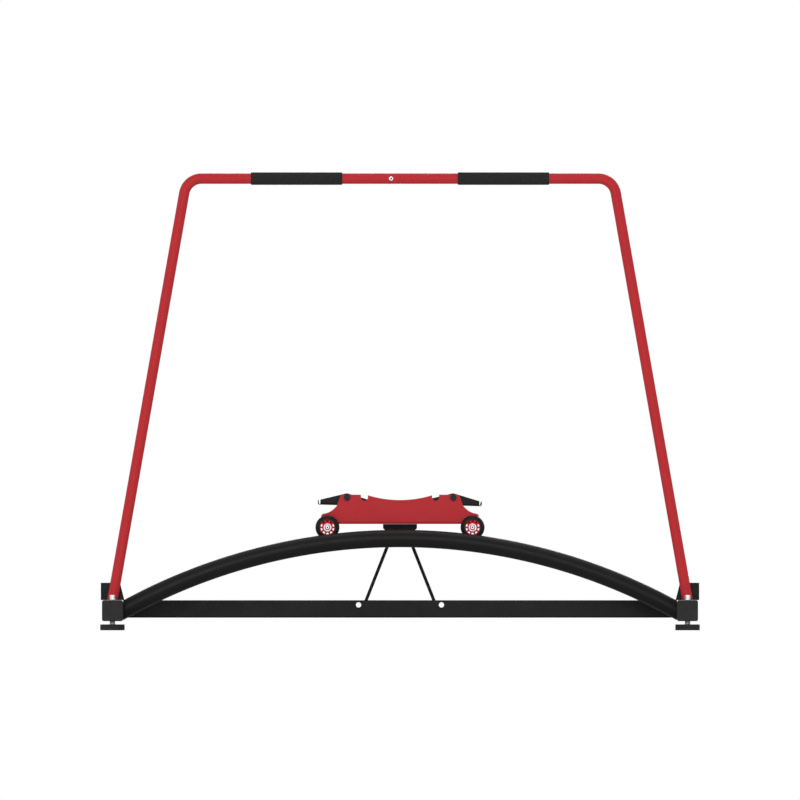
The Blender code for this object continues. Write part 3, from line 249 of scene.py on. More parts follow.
def arc(centre, radius, start, end, steps):
    """Points along an arc in a plane, its ends included."""
    angles = np.linspace(start, end, steps + 1)
    return [(centre[0] + radius * math.cos(a), centre[1] + radius * math.sin(a)) for a in angles]


def hole(x, y, radius, steps=32):
    """The outline of a round hole."""
    return arc((x, y), radius, 0, -TURN, steps)[:-1]


def fillet(corners, steps, closed=False):
    """A line through (x, y, radius) corners, each rounded with its radius."""
    points = []
    count = len(corners)
    for i, (x, y, radius) in enumerate(corners):
        here = Vector((x, y))
        back = Vector(corners[i - 1][:2]) - here
        ahead = Vector(corners[(i + 1) % count][:2]) - here
        inside = closed or 0 < i < count - 1
        if radius <= 0 or not inside or back.angle(ahead) > math.radians(179):
            points.append((x, y))
            continue
        half = back.angle(ahead) / 2
        setback = min(radius / math.tan(half), 0.49 * back.length, 0.49 * ahead.length)
        start = here + back.normalized() * setback
        end = here + ahead.normalized() * setback
        middle = (back.normalized() + ahead.normalized()).normalized()
        centre = here + middle * (setback / math.cos(half))
        turn = (start - centre).angle_signed(end - centre)
        for k in range(steps + 1):
            spoke = start - centre
            spoke.rotate(Matrix.Rotation(-turn * k / steps, 2))
            points.append(tuple(centre + spoke))
    return points


def box_outline(width, corner, steps=6):
    """A square with rounded corners."""
    half = width / 2
    corners = [(half, half), (-half, half), (-half, -half), (half, -half)]
    return fillet([(x, y, corner) for x, y in corners], steps, True)


def flipped(profile):
    """A profile about Z turned over to its other end, in the order that carries it on."""
    return [(radius, -height, *rest) for radius, height, *rest in reversed(profile)]


# Temporary objects, for modifiers and curves


def bmesh_of(form):
    bm = bmesh.new()
    verts = [bm.verts.new(point) for point in form[0].tolist()]
    for face in form[1]:
        bm.faces.new([verts[i] for i in face])
    return bm


def form_of(bm):
    bm.verts.index_update()
    points = np.array([vert.co for vert in bm.verts])
    faces = [[vert.index for vert in face.verts] for face in bm.faces]
    bm.free()
    return points, faces


def linked(bm):
    """A temporary object that holds a bmesh."""
    mesh = bpy.data.meshes.new("form")
    bm.to_mesh(mesh)
    bm.free()
    obj = bpy.data.objects.new("form", mesh)
    bpy.context.scene.collection.objects.link(obj)
    return obj


def loose_object(form):
    """A temporary object that holds a form, its faces turned outwards."""
    bm = bmesh_of(form)
    bmesh.ops.recalc_face_normals(bm, faces=bm.faces)
    return linked(bm)


def evaluated(obj):
    """The form of an object with its modifiers, in place of the object."""
    bpy.context.view_layer.update()
    graph = bpy.context.evaluated_depsgraph_get()
    mesh = bpy.data.meshes.new_from_object(obj.evaluated_get(graph))
    bm = bmesh.new()
    bm.from_mesh(mesh)
    bmesh.ops.remove_doubles(bm, verts=bm.verts, dist=1e-6)
    form = form_of(bm)
    bpy.data.meshes.remove(mesh)
    bpy.data.objects.remove(obj, do_unlink=True)
    return form


def filled(outlines, thickness=0.0, edge=0.0):
    """A flat sheet within outlines, or a plate with rounded edges; the inner outlines are holes."""
    curve = bpy.data.curves.new("outline", "CURVE")
    curve.dimensions = "2D"
    curve.fill_mode = "BOTH"
    if thickness:
        curve.extrude = thickness / 2 - edge
        curve.bevel_depth = edge
        curve.bevel_resolution = 2
        curve.offset = -edge
    for outline in outlines:
        spline = curve.splines.new("POLY")
        spline.points.add(len(outline) - 1)
        for point, (x, y) in zip(spline.points, outline):
            point.co = (x, y, 0, 1)
        spline.use_cyclic_u = True
    holder = bpy.data.objects.new("outline", curve)
    bpy.context.scene.collection.objects.link(holder)
    form = evaluated(holder)
    bpy.data.curves.remove(curve)
    return form


def round_edges(obj, width, angle):
    """Rounds the edges of an object that are sharper than an angle in degrees."""
    bevel = obj.modifiers.new("edges", "BEVEL")
    bevel.width = width
    bevel.segments = 2
    bevel.limit_method = "ANGLE"
    bevel.angle_limit = math.radians(angle)


def thicken(obj, depth, offset):
    """Gives a sheet its thickness: behind its faces with offset -1, before them with 1."""
    shell = obj.modifiers.new("sheet", "SOLIDIFY")
    shell.thickness = depth
    shell.offset = offset
    shell.use_even_offset = True


def carved(form, cutters, edge, angle=35):
    """The form with the cutters taken out and its sharp edges rounded."""
    obj = loose_object(form)
    helpers = [loose_object(cutter) for cutter in cutters]
    for helper in helpers:
        modifier = obj.modifiers.new("cut", "BOOLEAN")
        modifier.operation = "DIFFERENCE"
        modifier.solver = "EXACT"
        modifier.object = helper
    round_edges(obj, edge, angle)
    result = evaluated(obj)
    for helper in helpers:
        bpy.data.objects.remove(helper, do_unlink=True)
    return result


# Shown pieces


def piece(name, form, node, finish=None, body=None, flecks=None):
    """A shown piece that stands for a CAD node, with the node's body and finish."""
    points, faces = form
    mesh = bpy.data.meshes.new(name)
    mesh.from_pydata(points.tolist(), [], faces)
    bm = bmesh.new()
    bm.from_mesh(mesh)
    bmesh.ops.recalc_face_normals(bm, faces=bm.faces)
    bm.to_mesh(mesh)
    bm.free()
    mesh.shade_smooth()
    mesh.set_sharp_from_angle(angle=math.radians(SHARP_ANGLE))
    slot = finish or SLOT_OF[node]
    mesh.materials.append(FINISH[slot])
    obj = bpy.data.objects.new(name, mesh)
    bpy.context.scene.collection.objects.link(obj)
    if flecks is None:
        weighted = obj.modifiers.new("even_shading", "WEIGHTED_NORMAL")
        weighted.keep_sharp = True
    else:
        mesh.materials.append(FLECK)
        mesh.polygons.foreach_set("material_index", flecks)
    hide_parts(node)
    if body != "later":
        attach(obj, body or BODY_OF[node])
    return obj


def detail(node, *forms):
    """The detailed piece of a node."""
    return piece(f"{node}_detail", merged(*forms), node)


# Shared small forms


def flat_radius(across, flat=0.0):
    """The radius round a hexagon, one of its flats facing an angle in degrees."""
    turn = around(FACET_SIDES) - math.radians(flat)
    wedge = (turn + math.pi / 6) % (math.pi / 3) - math.pi / 6
    return across / 2 / np.cos(wedge)


def hexagon(across, low, high, flat=0.0, both=False):
    """A hexagonal prism about Z, its upper end or both ends with a turned chamfer."""
    radius = flat_radius(across, flat)
    turned_to = across / 2 * 0.96
    drop = (radius - turned_to) * math.tan(math.radians(30))
    rows = [(turned_to, low), (radius, low + drop)] if both else [(radius, low)]
    rows += [(radius, high - drop), (turned_to, high)]
    return stack(rows, FACET_SIDES)


def ring(inner, outer, low, high, edge):
    """A washer-like ring with rounded edges."""
    corners = [(inner, low, edge), (outer, low, edge), (outer, high, edge), (inner, high, edge)]
    return stack(fillet(corners, 3, True), 64, looped=True)


def thread(radius, depth, pitch, low, high, sides=48):
    """A helical thread with tapered ends."""
    rows = []
    turn = np.arange(sides) / sides
    steps = max(8, int((high - low) / pitch * 8))
    for i in range(steps + 1):
        height = low + (high - low) * i / steps
        wave = np.abs(((height / pitch - turn) % 1) * 2 - 1)
        cutting = depth * np.clip(wave * 1.6 - 0.5, 0, 1)
        ends = min(height - low, high - height)
        cutting = np.maximum(cutting, depth * max(0.0, 1 - ends / pitch))
        rows.append((radius - cutting, height))
    return stack(rows, sides)


def bolt_end(low, high):
    """The threaded end of a 10 mm bolt."""
    return thread(0.0051, 0.0006, 0.0015, low, high, 32)


def socket_head(radius, seat, top, socket, depth, dome):
    """A round bolt head with a hexagonal socket, its edge domed."""
    chamfer, lower_edge = 0.0003, 0.0004
    recess = flat_radius(socket)
    rows = [(recess, top - depth), (recess, top - chamfer), (recess + chamfer, top)]
    flat_end = radius * dome
    rows.append((flat_end, top))
    shoulder = seat + (top - seat) * 0.45
    for share in (0.25, 0.5, 0.75, 1.0):
        angle = UP * share
        reach = flat_end + (radius - flat_end) * math.sin(angle)
        rows.append((reach, shoulder + (top - shoulder) * math.cos(angle)))
    rows += [(radius, seat + lower_edge), (radius - lower_edge, seat)]
    return stack(rows, FACET_SIDES)


def bar(path, radius, sides):
    """A round bar along points, its radius one number or one for each point."""
    path = np.asarray(path, float)
    radii = np.broadcast_to(radius, len(path))
    ahead = np.gradient(path, axis=0)
    ahead /= np.linalg.norm(ahead, axis=1)[:, None]
    across = np.cross(ahead[0], (0.3, 0.5, 0.8))
    turn = around(sides)
    rings = []
    for point, way, size in zip(path, ahead, radii):
        across = across - way * across.dot(way)
        across /= np.linalg.norm(across)
        other = np.cross(way, across)
        spokes = np.cos(turn)[:, None] * across + np.sin(turn)[:, None] * other
        rings.append(point + size * spokes)
    return lofted(rings)


def weld(path):
    """A rippled weld bead along points, thinner towards its ends, and its mirror image."""
    path = np.asarray(path, float)
    lengths = np.concatenate([[0], np.cumsum(np.linalg.norm(np.diff(path, axis=0), axis=1))])
    total = lengths[-1]
    steps = max(12, int(total / 0.0006))
    along = np.linspace(0, total, steps + 1)
    finer = np.stack([np.interp(along, lengths, path[:, k]) for k in range(3)], 1)
    ripple = 0.88 + 0.12 * np.abs(np.sin(along / 0.0019 * math.pi))
    ends = np.clip(np.minimum(along, total - along) / (0.12 * total), 0.15, 1) ** 0.5
    bead = bar(finer, WELD * ripple * ends, 14)
    return [bead, mirrored(bead)]


# Shader nodes


def added(tree, kind, inputs=None, **settings):
    """A new shader node with its settings; each input is a value, or a socket to link."""
    node = tree.nodes.new(f"ShaderNode{kind}")
    for name, value in settings.items():
        setattr(node, name, value)
    fed(tree, node, inputs or {})
    return node


def fed(tree, node, inputs):
    for name, value in inputs.items():
        if isinstance(value, bpy.types.NodeSocket):
            tree.links.new(value, node.inputs[name])
        else:
            node.inputs[name].default_value = value


def new_material(name):
    made = bpy.data.materials.new(name)
    made.use_nodes = True
    return made, made.node_tree, made.node_tree.nodes["Principled BSDF"]


def own_place(tree):
    return added(tree, "TexCoord").outputs["Object"]


def noise(tree, scale, detail, roughness=0.5):
    """A noise on the piece's own coordinates, in features per metre."""
    inputs = {"Detail": detail, "Roughness": roughness, "Scale": scale, "Vector": own_place(tree)}
    return added(tree, "TexNoise", inputs).outputs["Fac"]


def ranged(tree, value, low=0, high=1):
    """The middle part of a noise, mapped to low..high."""
    inputs = {"From Min": 0.3, "From Max": 0.7, "To Min": low, "To Max": high, "Value": value}
    return added(tree, "MapRange", inputs).outputs["Result"]


def mixed(tree, factor, first, second):
    """A colour between two colours."""
    inputs = {"Factor": factor, "A": first, "B": second}
    return added(tree, "Mix", inputs, data_type="RGBA").outputs["Result"]


def bumped(tree, shader, layers):
    """Stacks bump layers of (height, depth in metres)."""
    normal = None
    for height, depth in layers:
        inputs = {"Distance": depth, "Height": height}
        if normal is not None:
            inputs["Normal"] = normal
        normal = added(tree, "Bump", inputs).outputs["Normal"]
    tree.links.new(normal, shader.inputs["Normal"])


def shades(colour, spread):
    """A darker and a lighter neighbour of a colour."""
    darker = tuple(c * (1 - spread) for c in colour)
    lighter = tuple(c * (1 + spread) for c in colour)
    return (*darker, 1.0), (*lighter, 1.0)


def dressed(tree, shader, colour, rough, gloss):
    """Gives a shader its colour, roughness and specular level."""
    look = {"Base Color": colour, "Roughness": rough, "Specular IOR Level": gloss}
    fed(tree, shader, look)


# Finishes


def coated(name, colour, rough, spread, peel, gloss):
    """Sprayed and baked powder: a faint orange peel, uneven gloss and slight colour drift."""
    made, tree, shader = new_material(name)
    drift = mixed(tree, ranged(tree, noise(tree, 9, 3)), *shades(colour, spread))
    speck = mixed(tree, ranged(tree, noise(tree, 1500, 1)), *shades(colour, 0.12))
    uneven = ranged(tree, noise(tree, 30, 4), rough - 0.05, rough + 0.07)
    dressed(tree, shader, mixed(tree, 0.5, drift, speck), uneven, gloss)
    bumped(tree, shader, [(noise(tree, 650, 1), peel), (noise(tree, 2600, 0), peel / 5)])
    return made


def metal(name, colour, rough, metallic, spread, scratch, gloss):
    """Plated or blackened steel with cloudy tarnish and fine handling marks."""
    made, tree, shader = new_material(name)
    cloud = mixed(tree, ranged(tree, noise(tree, 140, 4, 0.6)), *shades(colour, spread))
    marks = ranged(tree, noise(tree, 420, 5, 0.7), rough - 0.08, rough + 0.12)
    dressed(tree, shader, cloud, marks, gloss)
    shader.inputs["Metallic"].default_value = metallic
    bumped(tree, shader, [(noise(tree, 1800, 3, 0.7), scratch)])
    return made


def moulded(name, colour, rough, spread, grain, depth, gloss):
    """Injection-moulded plastic with a fine spark-eroded grain."""
    made, tree, shader = new_material(name)
    drift = mixed(tree, ranged(tree, noise(tree, 40, 3)), *shades(colour, spread))
    uneven = ranged(tree, noise(tree, 90, 3), rough - 0.05, rough + 0.06)
    dressed(tree, shader, drift, uneven, gloss)
    bumped(tree, shader, [(noise(tree, grain, 2, 0.6), depth)])
    return made


def foam(name, colour):
    """Closed-cell foam: small pits and a dull skin."""
    made, tree, shader = new_material(name)
    pits = added(tree, "TexVoronoi", {"Scale": 900, "Vector": own_place(tree)}).outputs["Distance"]
    tone = mixed(tree, ranged(tree, noise(tree, 260, 4, 0.7)), *shades(colour, 0.30))
    dressed(tree, shader, tone, 0.92, 0.08)
    bumped(tree, shader, [(pits, 0.00025), (noise(tree, 300, 3), 0.0003)])
    return made


FINISHES = [
    (coated, "black_powder_coat", (0.0098, 0.0098, 0.0101), 0.40, 0.12, 0.00003, 0.062),
    (coated, "red_powder_coat", (0.425, 0.024, 0.029), 0.48, 0.05, 0.00003, 0.07),
    (metal, "zinc_plate", (0.57, 0.58, 0.595), 0.55, 1.0, 0.10, 0.00001, 0.5),
    (metal, "black_oxide", (0.009, 0.013, 0.018), 0.42, 0.0, 0.20, 0.00001, 0.10),
    (foam, "black_foam", (0.021, 0.021, 0.0215)),
    (moulded, "black_plastic", (0.021, 0.021, 0.0215), 0.50, 0.10, 1900, 0.00004, 0.07),
    (moulded, "black_urethane", (0.008, 0.0085, 0.0085), 0.40, 0.15, 700, 0.00001, 0.08),
    (moulded, "red_nylon", (0.540, 0.010, 0.022), 0.35, 0.06, 900, 0.00001, 0.12),
    (moulded, "black_braid", (0.0085, 0.0085, 0.009), 0.85, 0.25, 2200, 0.00006, 0.06),
    (moulded, "tread_rubber", (0.030, 0.030, 0.031), 0.70, 0.15, 1400, 0.00008, 0.22),
]
FINISH = {name: make(name, *look) for make, name, *look in FINISHES}
FLECK = moulded("braid_fleck", (0.060, 0.060, 0.063), 0.85, 0.20, 2200, 0.00006, 0.15)

BODY_OF = {}
for body, members in frame["record"]["behaviour"]["bodies"].items():
    for node in members:
        BODY_OF[node] = body
SLOT_OF = {row["node"]: row["material_slot"] for row in frame["record"]["subparts"]}
for node, obj in frame["nodes"].items():
    obj.data.materials.clear()
    obj.data.materials.append(FINISH[SLOT_OF[node]])


# Base frame


def rail(end, way):
    """A rail as a true arc, cut upright at its ends, with a weld bead on both flanks."""
    turn = around(64)
    radius = RAIL_RADIUS + TUBE * np.sin(turn)
    side = way * RAIL_Y + TUBE * np.cos(turn)
    angle = np.linspace(-1, 1, 201)[:, None] * np.arcsin(TUBE_END_X / radius)
    line = np.broadcast_to(side, angle.shape)
    rings = np.stack([radius * np.sin(angle), line, ARC_CENTRE_Z + radius * np.cos(angle)], -1)
    forms = [lofted(rings)]
    skin = TUBE + 0.0004
    for flank in (0, math.pi):
        turns = np.linspace(flank - 1.0, flank + 1.0, 30)
        reach = RAIL_RADIUS + skin * np.sin(turns)
        depth = way * RAIL_Y + skin * np.cos(turns)
        height = ARC_CENTRE_Z + np.sqrt(reach**2 - TUBE_END_X**2)
        forms += weld(np.stack([np.full(30, TUBE_END_X - WELD_SET_BACK), depth, height], 1))
    detail(f"{end}_rail", *forms)


def box_tube(size, wall, corner, length):
    """A straight square tube along its own Z."""
    rings = []
    half = length / 2
    bore, bore_corner = size - 2 * wall, max(corner - wall, 0.001)
    for width, radius, height in (
        (size, corner, -half),
        (size, corner, half),
        (bore, bore_corner, half),
        (bore, bore_corner, -half),
    ):
        rings.append([(x, y, height) for x, y in box_outline(width, radius)])
    return lofted(rings, looped=True)


def base_beam():
    """The square beam with its slot, its two guide sleeves and its anchors."""
    tube = laid(box_tube(BEAM_SIZE, 0.002, 0.004, 2 * TUBE_END_X), "X", (0, 0, BEAM_Z))
    end, half = SLOT_LENGTH / 2, SLOT_WIDTH / 2
    corners = [(end, half), (-end, half), (-end, -half), (end, -half)]
    slot = fillet([(x, y, 0.00799) for x, y in corners], 10, True)
    cutters = [laid(prism(slot, 0.01), "Z", (0, 0, BEAM_Z + BEAM_SIZE / 2))]
    forms = []
    for sign in SIDES.values():
        at = (sign * GUIDE_X, 0, GUIDE_Z)
        cutters.append(laid(rod(GUIDE_RADIUS, -THROUGH, THROUGH), "Y", at))
        sleeve = ring(GUIDE_BORE, GUIDE_RADIUS + 0.0001, -0.0254, 0.0254, 0.0006)
        forms.append(laid(sleeve, "Y", at))
        half = ANCHOR_SHEET / 2
        anchor = ring(CORD + GAP, ANCHOR_RADIUS, -half, half, 0.0004)
        forms.append(laid(anchor, "X", (sign * ANCHOR_X, 0, CORD_LOW_Z + 0.0025)))
    forms.append(carved(tube, cutters, TUBE_EDGE))
    for flank in (-1, 1):
        ends = (-0.019, 0.019)
        forms += weld([(TUBE_END_X - WELD_SET_BACK, flank * 0.0253, BEAM_Z + z) for z in ends])
    detail("base_beam", *forms)


def crossbar(side, sign):
    """A square tube with clean-edged holes for its two levelling screws."""
    tube = box_tube(CROSSBAR_SIZE, CROSSBAR_WALL, CROSSBAR_CORNER, CROSSBAR_LENGTH)
    tube = laid(tube, "Y", (sign * CROSSBAR_X, 0, CROSSBAR_MIDDLE))
    forms, cutters = [], []
    for way in ENDS.values():
        at = (sign * CROSSBAR_X, way * FOOT_Y, CROSSBAR_MIDDLE)
        cutters.append(laid(rod(BUSH_HOLE, -THROUGH, THROUGH), "Z", at))
        forms.append(laid(ring(0.0084, BUSH_RADIUS, -0.0296, 0.0296, 0.0005), "Z", at))
    detail(f"{side}_crossbar", *forms, carved(tube, cutters, TUBE_EDGE))


def end_cap(side, sign, end, way):
    """A plastic cap with a rounded rim and a shallow dished face."""
    outline = box_outline(CROSSBAR_SIZE, CROSSBAR_CORNER, 8)
    rings = []
    # How far in from the tube's outside, and how far out from the cap's middle
    levels = [(0.0012, -0.0015), (0.0, -0.0011), (0.0, 0.0003), (0.0003, 0.0009), (0.0009, 0.0013)]
    levels += [(0.0016, 0.0015), (0.0050, 0.0015), (0.0058, 0.0012), (0.0068, 0.0011)]
    for inset, height in levels:
        scale = 1 - 2 * inset / CROSSBAR_SIZE
        rings.append([(x * scale, y * scale, height) for x, y in outline])
    plug = moved(box_tube(0.0534, 0.002, 0.003, 0.014), Matrix.Translation((0, 0, -0.0085)))
    at = (sign * CROSSBAR_X, way * CAP_Y, CROSSBAR_MIDDLE)
    detail(f"{side}_{end}_cap", laid(merged(lofted(rings), plug), facing(way), at))


def levelling_foot(side, sign, end, way):
    """A fluted pad with plain bands, and its threaded screw with a hexagonal end."""
    at = (sign * CROSSBAR_X, way * FOOT_Y, 0)
    sides = 288
    wave = 0.5 - 0.5 * np.cos(np.arange(sides) / sides * 2 * math.pi * FLUTES)
    fluted = PAD_RADIUS - FLUTE_DEPTH * wave**0.7
    rows = [(0.0315, 0.0009), (0.0325, 0.0), (0.0339, 0.0), (0.0347, 0.0004)]
    rows += [(PAD_RADIUS, 0.0011), (PAD_RADIUS, 0.0034), (fluted, 0.0041), (fluted, 0.0129)]
    rows += [(PAD_RADIUS, 0.0136), (PAD_RADIUS, 0.0157), (0.0346, 0.0166), (0.0337, 0.0170)]
    rows += [(0.0300, 0.0170), (0.0292, 0.0164), (0.0145, 0.0164), (0.0137, 0.0170)]
    rows += [(0.0092, 0.0170), (0.0086, 0.0166), (0.0086, 0.0062)]
    detail(f"{side}_{end}_foot_pad", laid(stack(rows, sides), "Z", at))
    forms = [
        thread(0.0081, 0.0006, LEVEL_PITCH, 0.0064, 0.0340),
        rod(0.0078, 0.033, 0.080, 32),
        thread(0.0080, 0.0010, LEVEL_PITCH, 0.0790, 0.0893),
        hexagon(0.0135, 0.0885, 0.1010, flat=30),
    ]
    detail(f"{side}_{end}_foot_screw", laid(merged(*forms), "Z", at))


# Handle frame


def leg_x(height):
    """How far out a leg's middle line is at a height."""
    return HANDLE_CORNER_X + (HANDLE_HEIGHT - height) * math.tan(HANDLE_LEAN)


def handle_tube(side, sign):
    """A leaning leg, a smooth bend and half of the top bar, open at the seam."""
    setback = HANDLE_BEND * math.tan((UP - HANDLE_LEAN) / 2)
    centre_x, centre_z = HANDLE_CORNER_X - setback, HANDLE_HEIGHT - HANDLE_BEND
    turn = around(48)[:, None]

    def ring_at(x, z, lean, radius=HANDLE_TUBE):
        spoke = np.array([math.cos(lean), 0, math.sin(lean)])
        return (x, HANDLE_Y, z) + radius * (np.cos(turn) * spoke + np.sin(turn) * (0, 1, 0))

    low = CROSSBAR_TOP + GAP
    foot = ring_at(leg_x(low), low, HANDLE_LEAN)
    drop = (foot[:, 2] - low)[:, None] / math.cos(HANDLE_LEAN)
    rings = [foot + drop * (math.sin(HANDLE_LEAN), 0, -math.cos(HANDLE_LEAN))]
    bend_start = centre_z + HANDLE_BEND * math.sin(HANDLE_LEAN)
    for height in np.linspace(low + 0.02, bend_start, 12)[:-1]:
        rings.append(ring_at(leg_x(height), height, HANDLE_LEAN))
    for lean in np.linspace(HANDLE_LEAN, UP, 25):
        x = centre_x + HANDLE_BEND * math.cos(lean)
        rings.append(ring_at(x, centre_z + HANDLE_BEND * math.sin(lean), lean))
    # The seam's rounded edge, then the bore
    seam = [(0.0006, HANDLE_TUBE), (0.0003, 0.01492), (GAP / 2, 0.01475)]
    for x, radius in [*seam, (GAP / 2, HANDLE_BORE), (0.010, HANDLE_BORE)]:
        rings.append(ring_at(x, HANDLE_HEIGHT, UP, radius))
    form = lofted(rings)
    detail(f"{side}_handle_tube", mirrored(form) if sign < 0 else form)


def joint_screw():
    """The round-headed screw of the top bar's joint, with a black plug in its socket as painted
    shadow.
    """
    head = socket_head(0.0064, 0.0153, 0.0188, 0.0045, 0.0018, 0.62)
    shank = rod(0.003, 0.0050, 0.0155, 32)
    at = (JOINT_SCREW_X, HANDLE_Y, HANDLE_HEIGHT)
    node = "handle_joint_screw"
    detail(node, laid(merged(head, shank), "-Y", at))
    # A black-oxide hexagon on the socket's floor is painted shadow for the socket's hollow.
    piece(f"{node}_socket", laid(hexagon(0.0044, 0.0162, 0.0172), "-Y", at), node, "black_oxide")


def grip(side, sign):
    """A foam sleeve with a faintly uneven skin and soft ends."""
    rng = np.random.default_rng(11 if sign < 0 else 12)
    half, rounding = GRIP_LENGTH / 2, 0.003
    sides = 96
    turn = around(sides)
    ends = arc((GRIP_RADIUS - rounding, half - rounding), rounding, UP, 0, 5)
    profile = [(0.0153, half - 0.0006), (0.0157, half)] + ends
    middle = [(GRIP_RADIUS, z) for z in np.linspace(half - 0.004, 0.004 - half, 262)]
    waves = []
    for _ in range(26):
        waves.append((rng.integers(2, 34), rng.uniform(60, 2600), rng.uniform(0, 6.28)))
    rows = []
    for radius, height in profile + middle + flipped(profile):
        uneven = sum(np.sin(k * turn + f * height + p) for k, f, p in waves)
        inset = 0.000022 * uneven - 0.00010
        rows.append((radius + (inset if radius > 0.0165 else 0.0), height))
    at = (sign * GRIP_X, HANDLE_Y, HANDLE_HEIGHT)
    obj = detail(f"{side}_grip", laid(stack(rows, sides, looped=True), "X", at))


def handle_bracket(side, sign):
    """A folded channel behind the leg, coped round the rail, with rounded sheet edges."""
    front_y = HANDLE_Y + HANDLE_TUBE + GAP
    rear_y = front_y + BRACKET_DEPTH
    low = CROSSBAR_TOP + GAP
    rows = []
    for height, width in ((low, 0.0675), (low + BRACKET_HEIGHT, 0.0550)):
        corners = [
            (BRACKET_OUTER_X, rear_y, 0),
            (BRACKET_OUTER_X, front_y, 0.006),
            (BRACKET_OUTER_X - width, front_y, 0.006),
            (BRACKET_OUTER_X - width, rear_y, 0),
        ]
        rows.append([(x, y, height) for x, y in fillet(corners, 6)])
    count = len(rows[0])
    points = np.array(rows[0] + rows[1])
    faces = [[i, count + i, count + i + 1, i + 1] for i in range(count - 1)]
    sheet = linked(bmesh_of((points, faces)))
    thicken(sheet, BRACKET_SHEET, -1)
    start = math.asin((CROSSBAR_INNER_X - 0.10) / RAIL_RADIUS)
    end = math.asin((CROSSBAR_INNER_X + 0.05) / RAIL_RADIUS)
    line = arc((0, ARC_CENTRE_Z), RAIL_RADIUS, UP - start, UP - end, 12)
    cope = bar([(x, -RAIL_Y, z) for x, z in line], TUBE + 0.0005, 64)
    form = carved(evaluated(sheet), [cope], 0.0005)
    detail(f"{side}_handle_bracket", mirrored(form) if sign < 0 else form)


def leg_bolts(side, sign):
    """Hexagon bolts with thin washers, behind the bracket."""
    seat = HANDLE_TUBE + GAP + BRACKET_SHEET + GAP
    forms = [
        ring(0.0043, 0.0078, seat, seat + 0.0012, 0.0003),
        hexagon(0.013, seat + 0.0012, seat + 0.0053),
        rod(0.004, seat - 0.011, seat + 0.002, 32),
    ]
    for level, rise in (("lower", 0.014), ("upper", 0.036)):
        height = CROSSBAR_TOP + rise
        at = (sign * leg_x(height), HANDLE_Y, height)
        detail(f"{side}_leg_bolt_{level}", laid(merged(*forms), "Y", at))


# Elastic cords

BRAID_ENDS = 10
BRAID_PITCH = 0.0034
BRAID_DEPTH = 0.00034
LIGHT_STRANDS = [[[2]], [[7]]]
# Shares of the free stretch where its ten pieces meet, and how far each place follows
CORD_SHARES = [0, 0.044, 0.088, 0.131, 0.2, 0.35, 0.5, 0.65, 0.8, 0.94, 1]
CORD_FOLLOW = [0, 0.007, 0.028, 0.075, 0.165, 0.355, 0.520, 0.672, 0.818, 0.967, 1]
CORE_NORMAL = (0.243, 0, 0.970)


def braid(route, radii, start, sides=80):
    """A braided bar along a route in the XZ plane: its rings, its light faces and its end."""
    ahead = np.gradient(route, axis=0)
    ahead /= np.linalg.norm(ahead, axis=1)[:, None]
    spoke = np.stack([ahead[:, 2], np.zeros(len(route)), -ahead[:, 0]], 1)[:, None]
    gaps = np.linalg.norm(np.diff(route, axis=0), axis=1)
    along = start + np.concatenate([[0], np.cumsum(gaps)])
    turn = np.arange(sides) / sides
    # The strands that wind one way, then those that wind the other way
    ways = np.array([1, -1])[:, None, None]
    strands = BRAID_ENDS * turn + ways * (along[:, None] / BRAID_PITCH)
    waves = np.sin(math.pi * strands)
    over = waves[0] * waves[1]
    weave = 0.28 * np.sign(over) * np.abs(over) ** 0.5
    heights = np.abs(waves) ** 0.6 * (0.72 + ways * weave)
    reach = (radii[:, None] - BRAID_DEPTH * (1 - heights.max(0)))[..., None]
    angle = (turn * 2 * math.pi)[:, None]
    rings = route[:, None] + reach * (np.cos(angle) * spoke + np.sin(angle) * (0, 1, 0))
    middles = np.floor((strands[:, :-1] + strands[:, 1:]) / 2 + BRAID_ENDS / sides / 2)
    above = middles.sum(0) % 2 == 0
    light = (middles % BRAID_ENDS == LIGHT_STRANDS) & np.stack([above, ~above])
    return rings, light.any(0).astype(np.int32), along[-1]


def cord_piece(side, name, rings, light, body):
    """One stretch of a cord, mirrored for the left side."""
    if side == "left":
        rings = (rings * (-1, 1, 1))[:, ::-1]
        light = np.roll(light[:, ::-1], -1, axis=1)
    tones = np.concatenate([light.ravel(), [0, 0]]).astype(np.int32)
    node = f"{side}_cord"
    return piece(f"{node}_{name}", lofted(rings), node, body=body, flecks=tones)


def slanted(rings, route, way, normal):
    """Rings slid along a straight route until each lies in a plane across the normal."""
    slide = (rings - route[:, None, :]) @ normal / (way @ normal)
    return rings - slide[..., None] * way


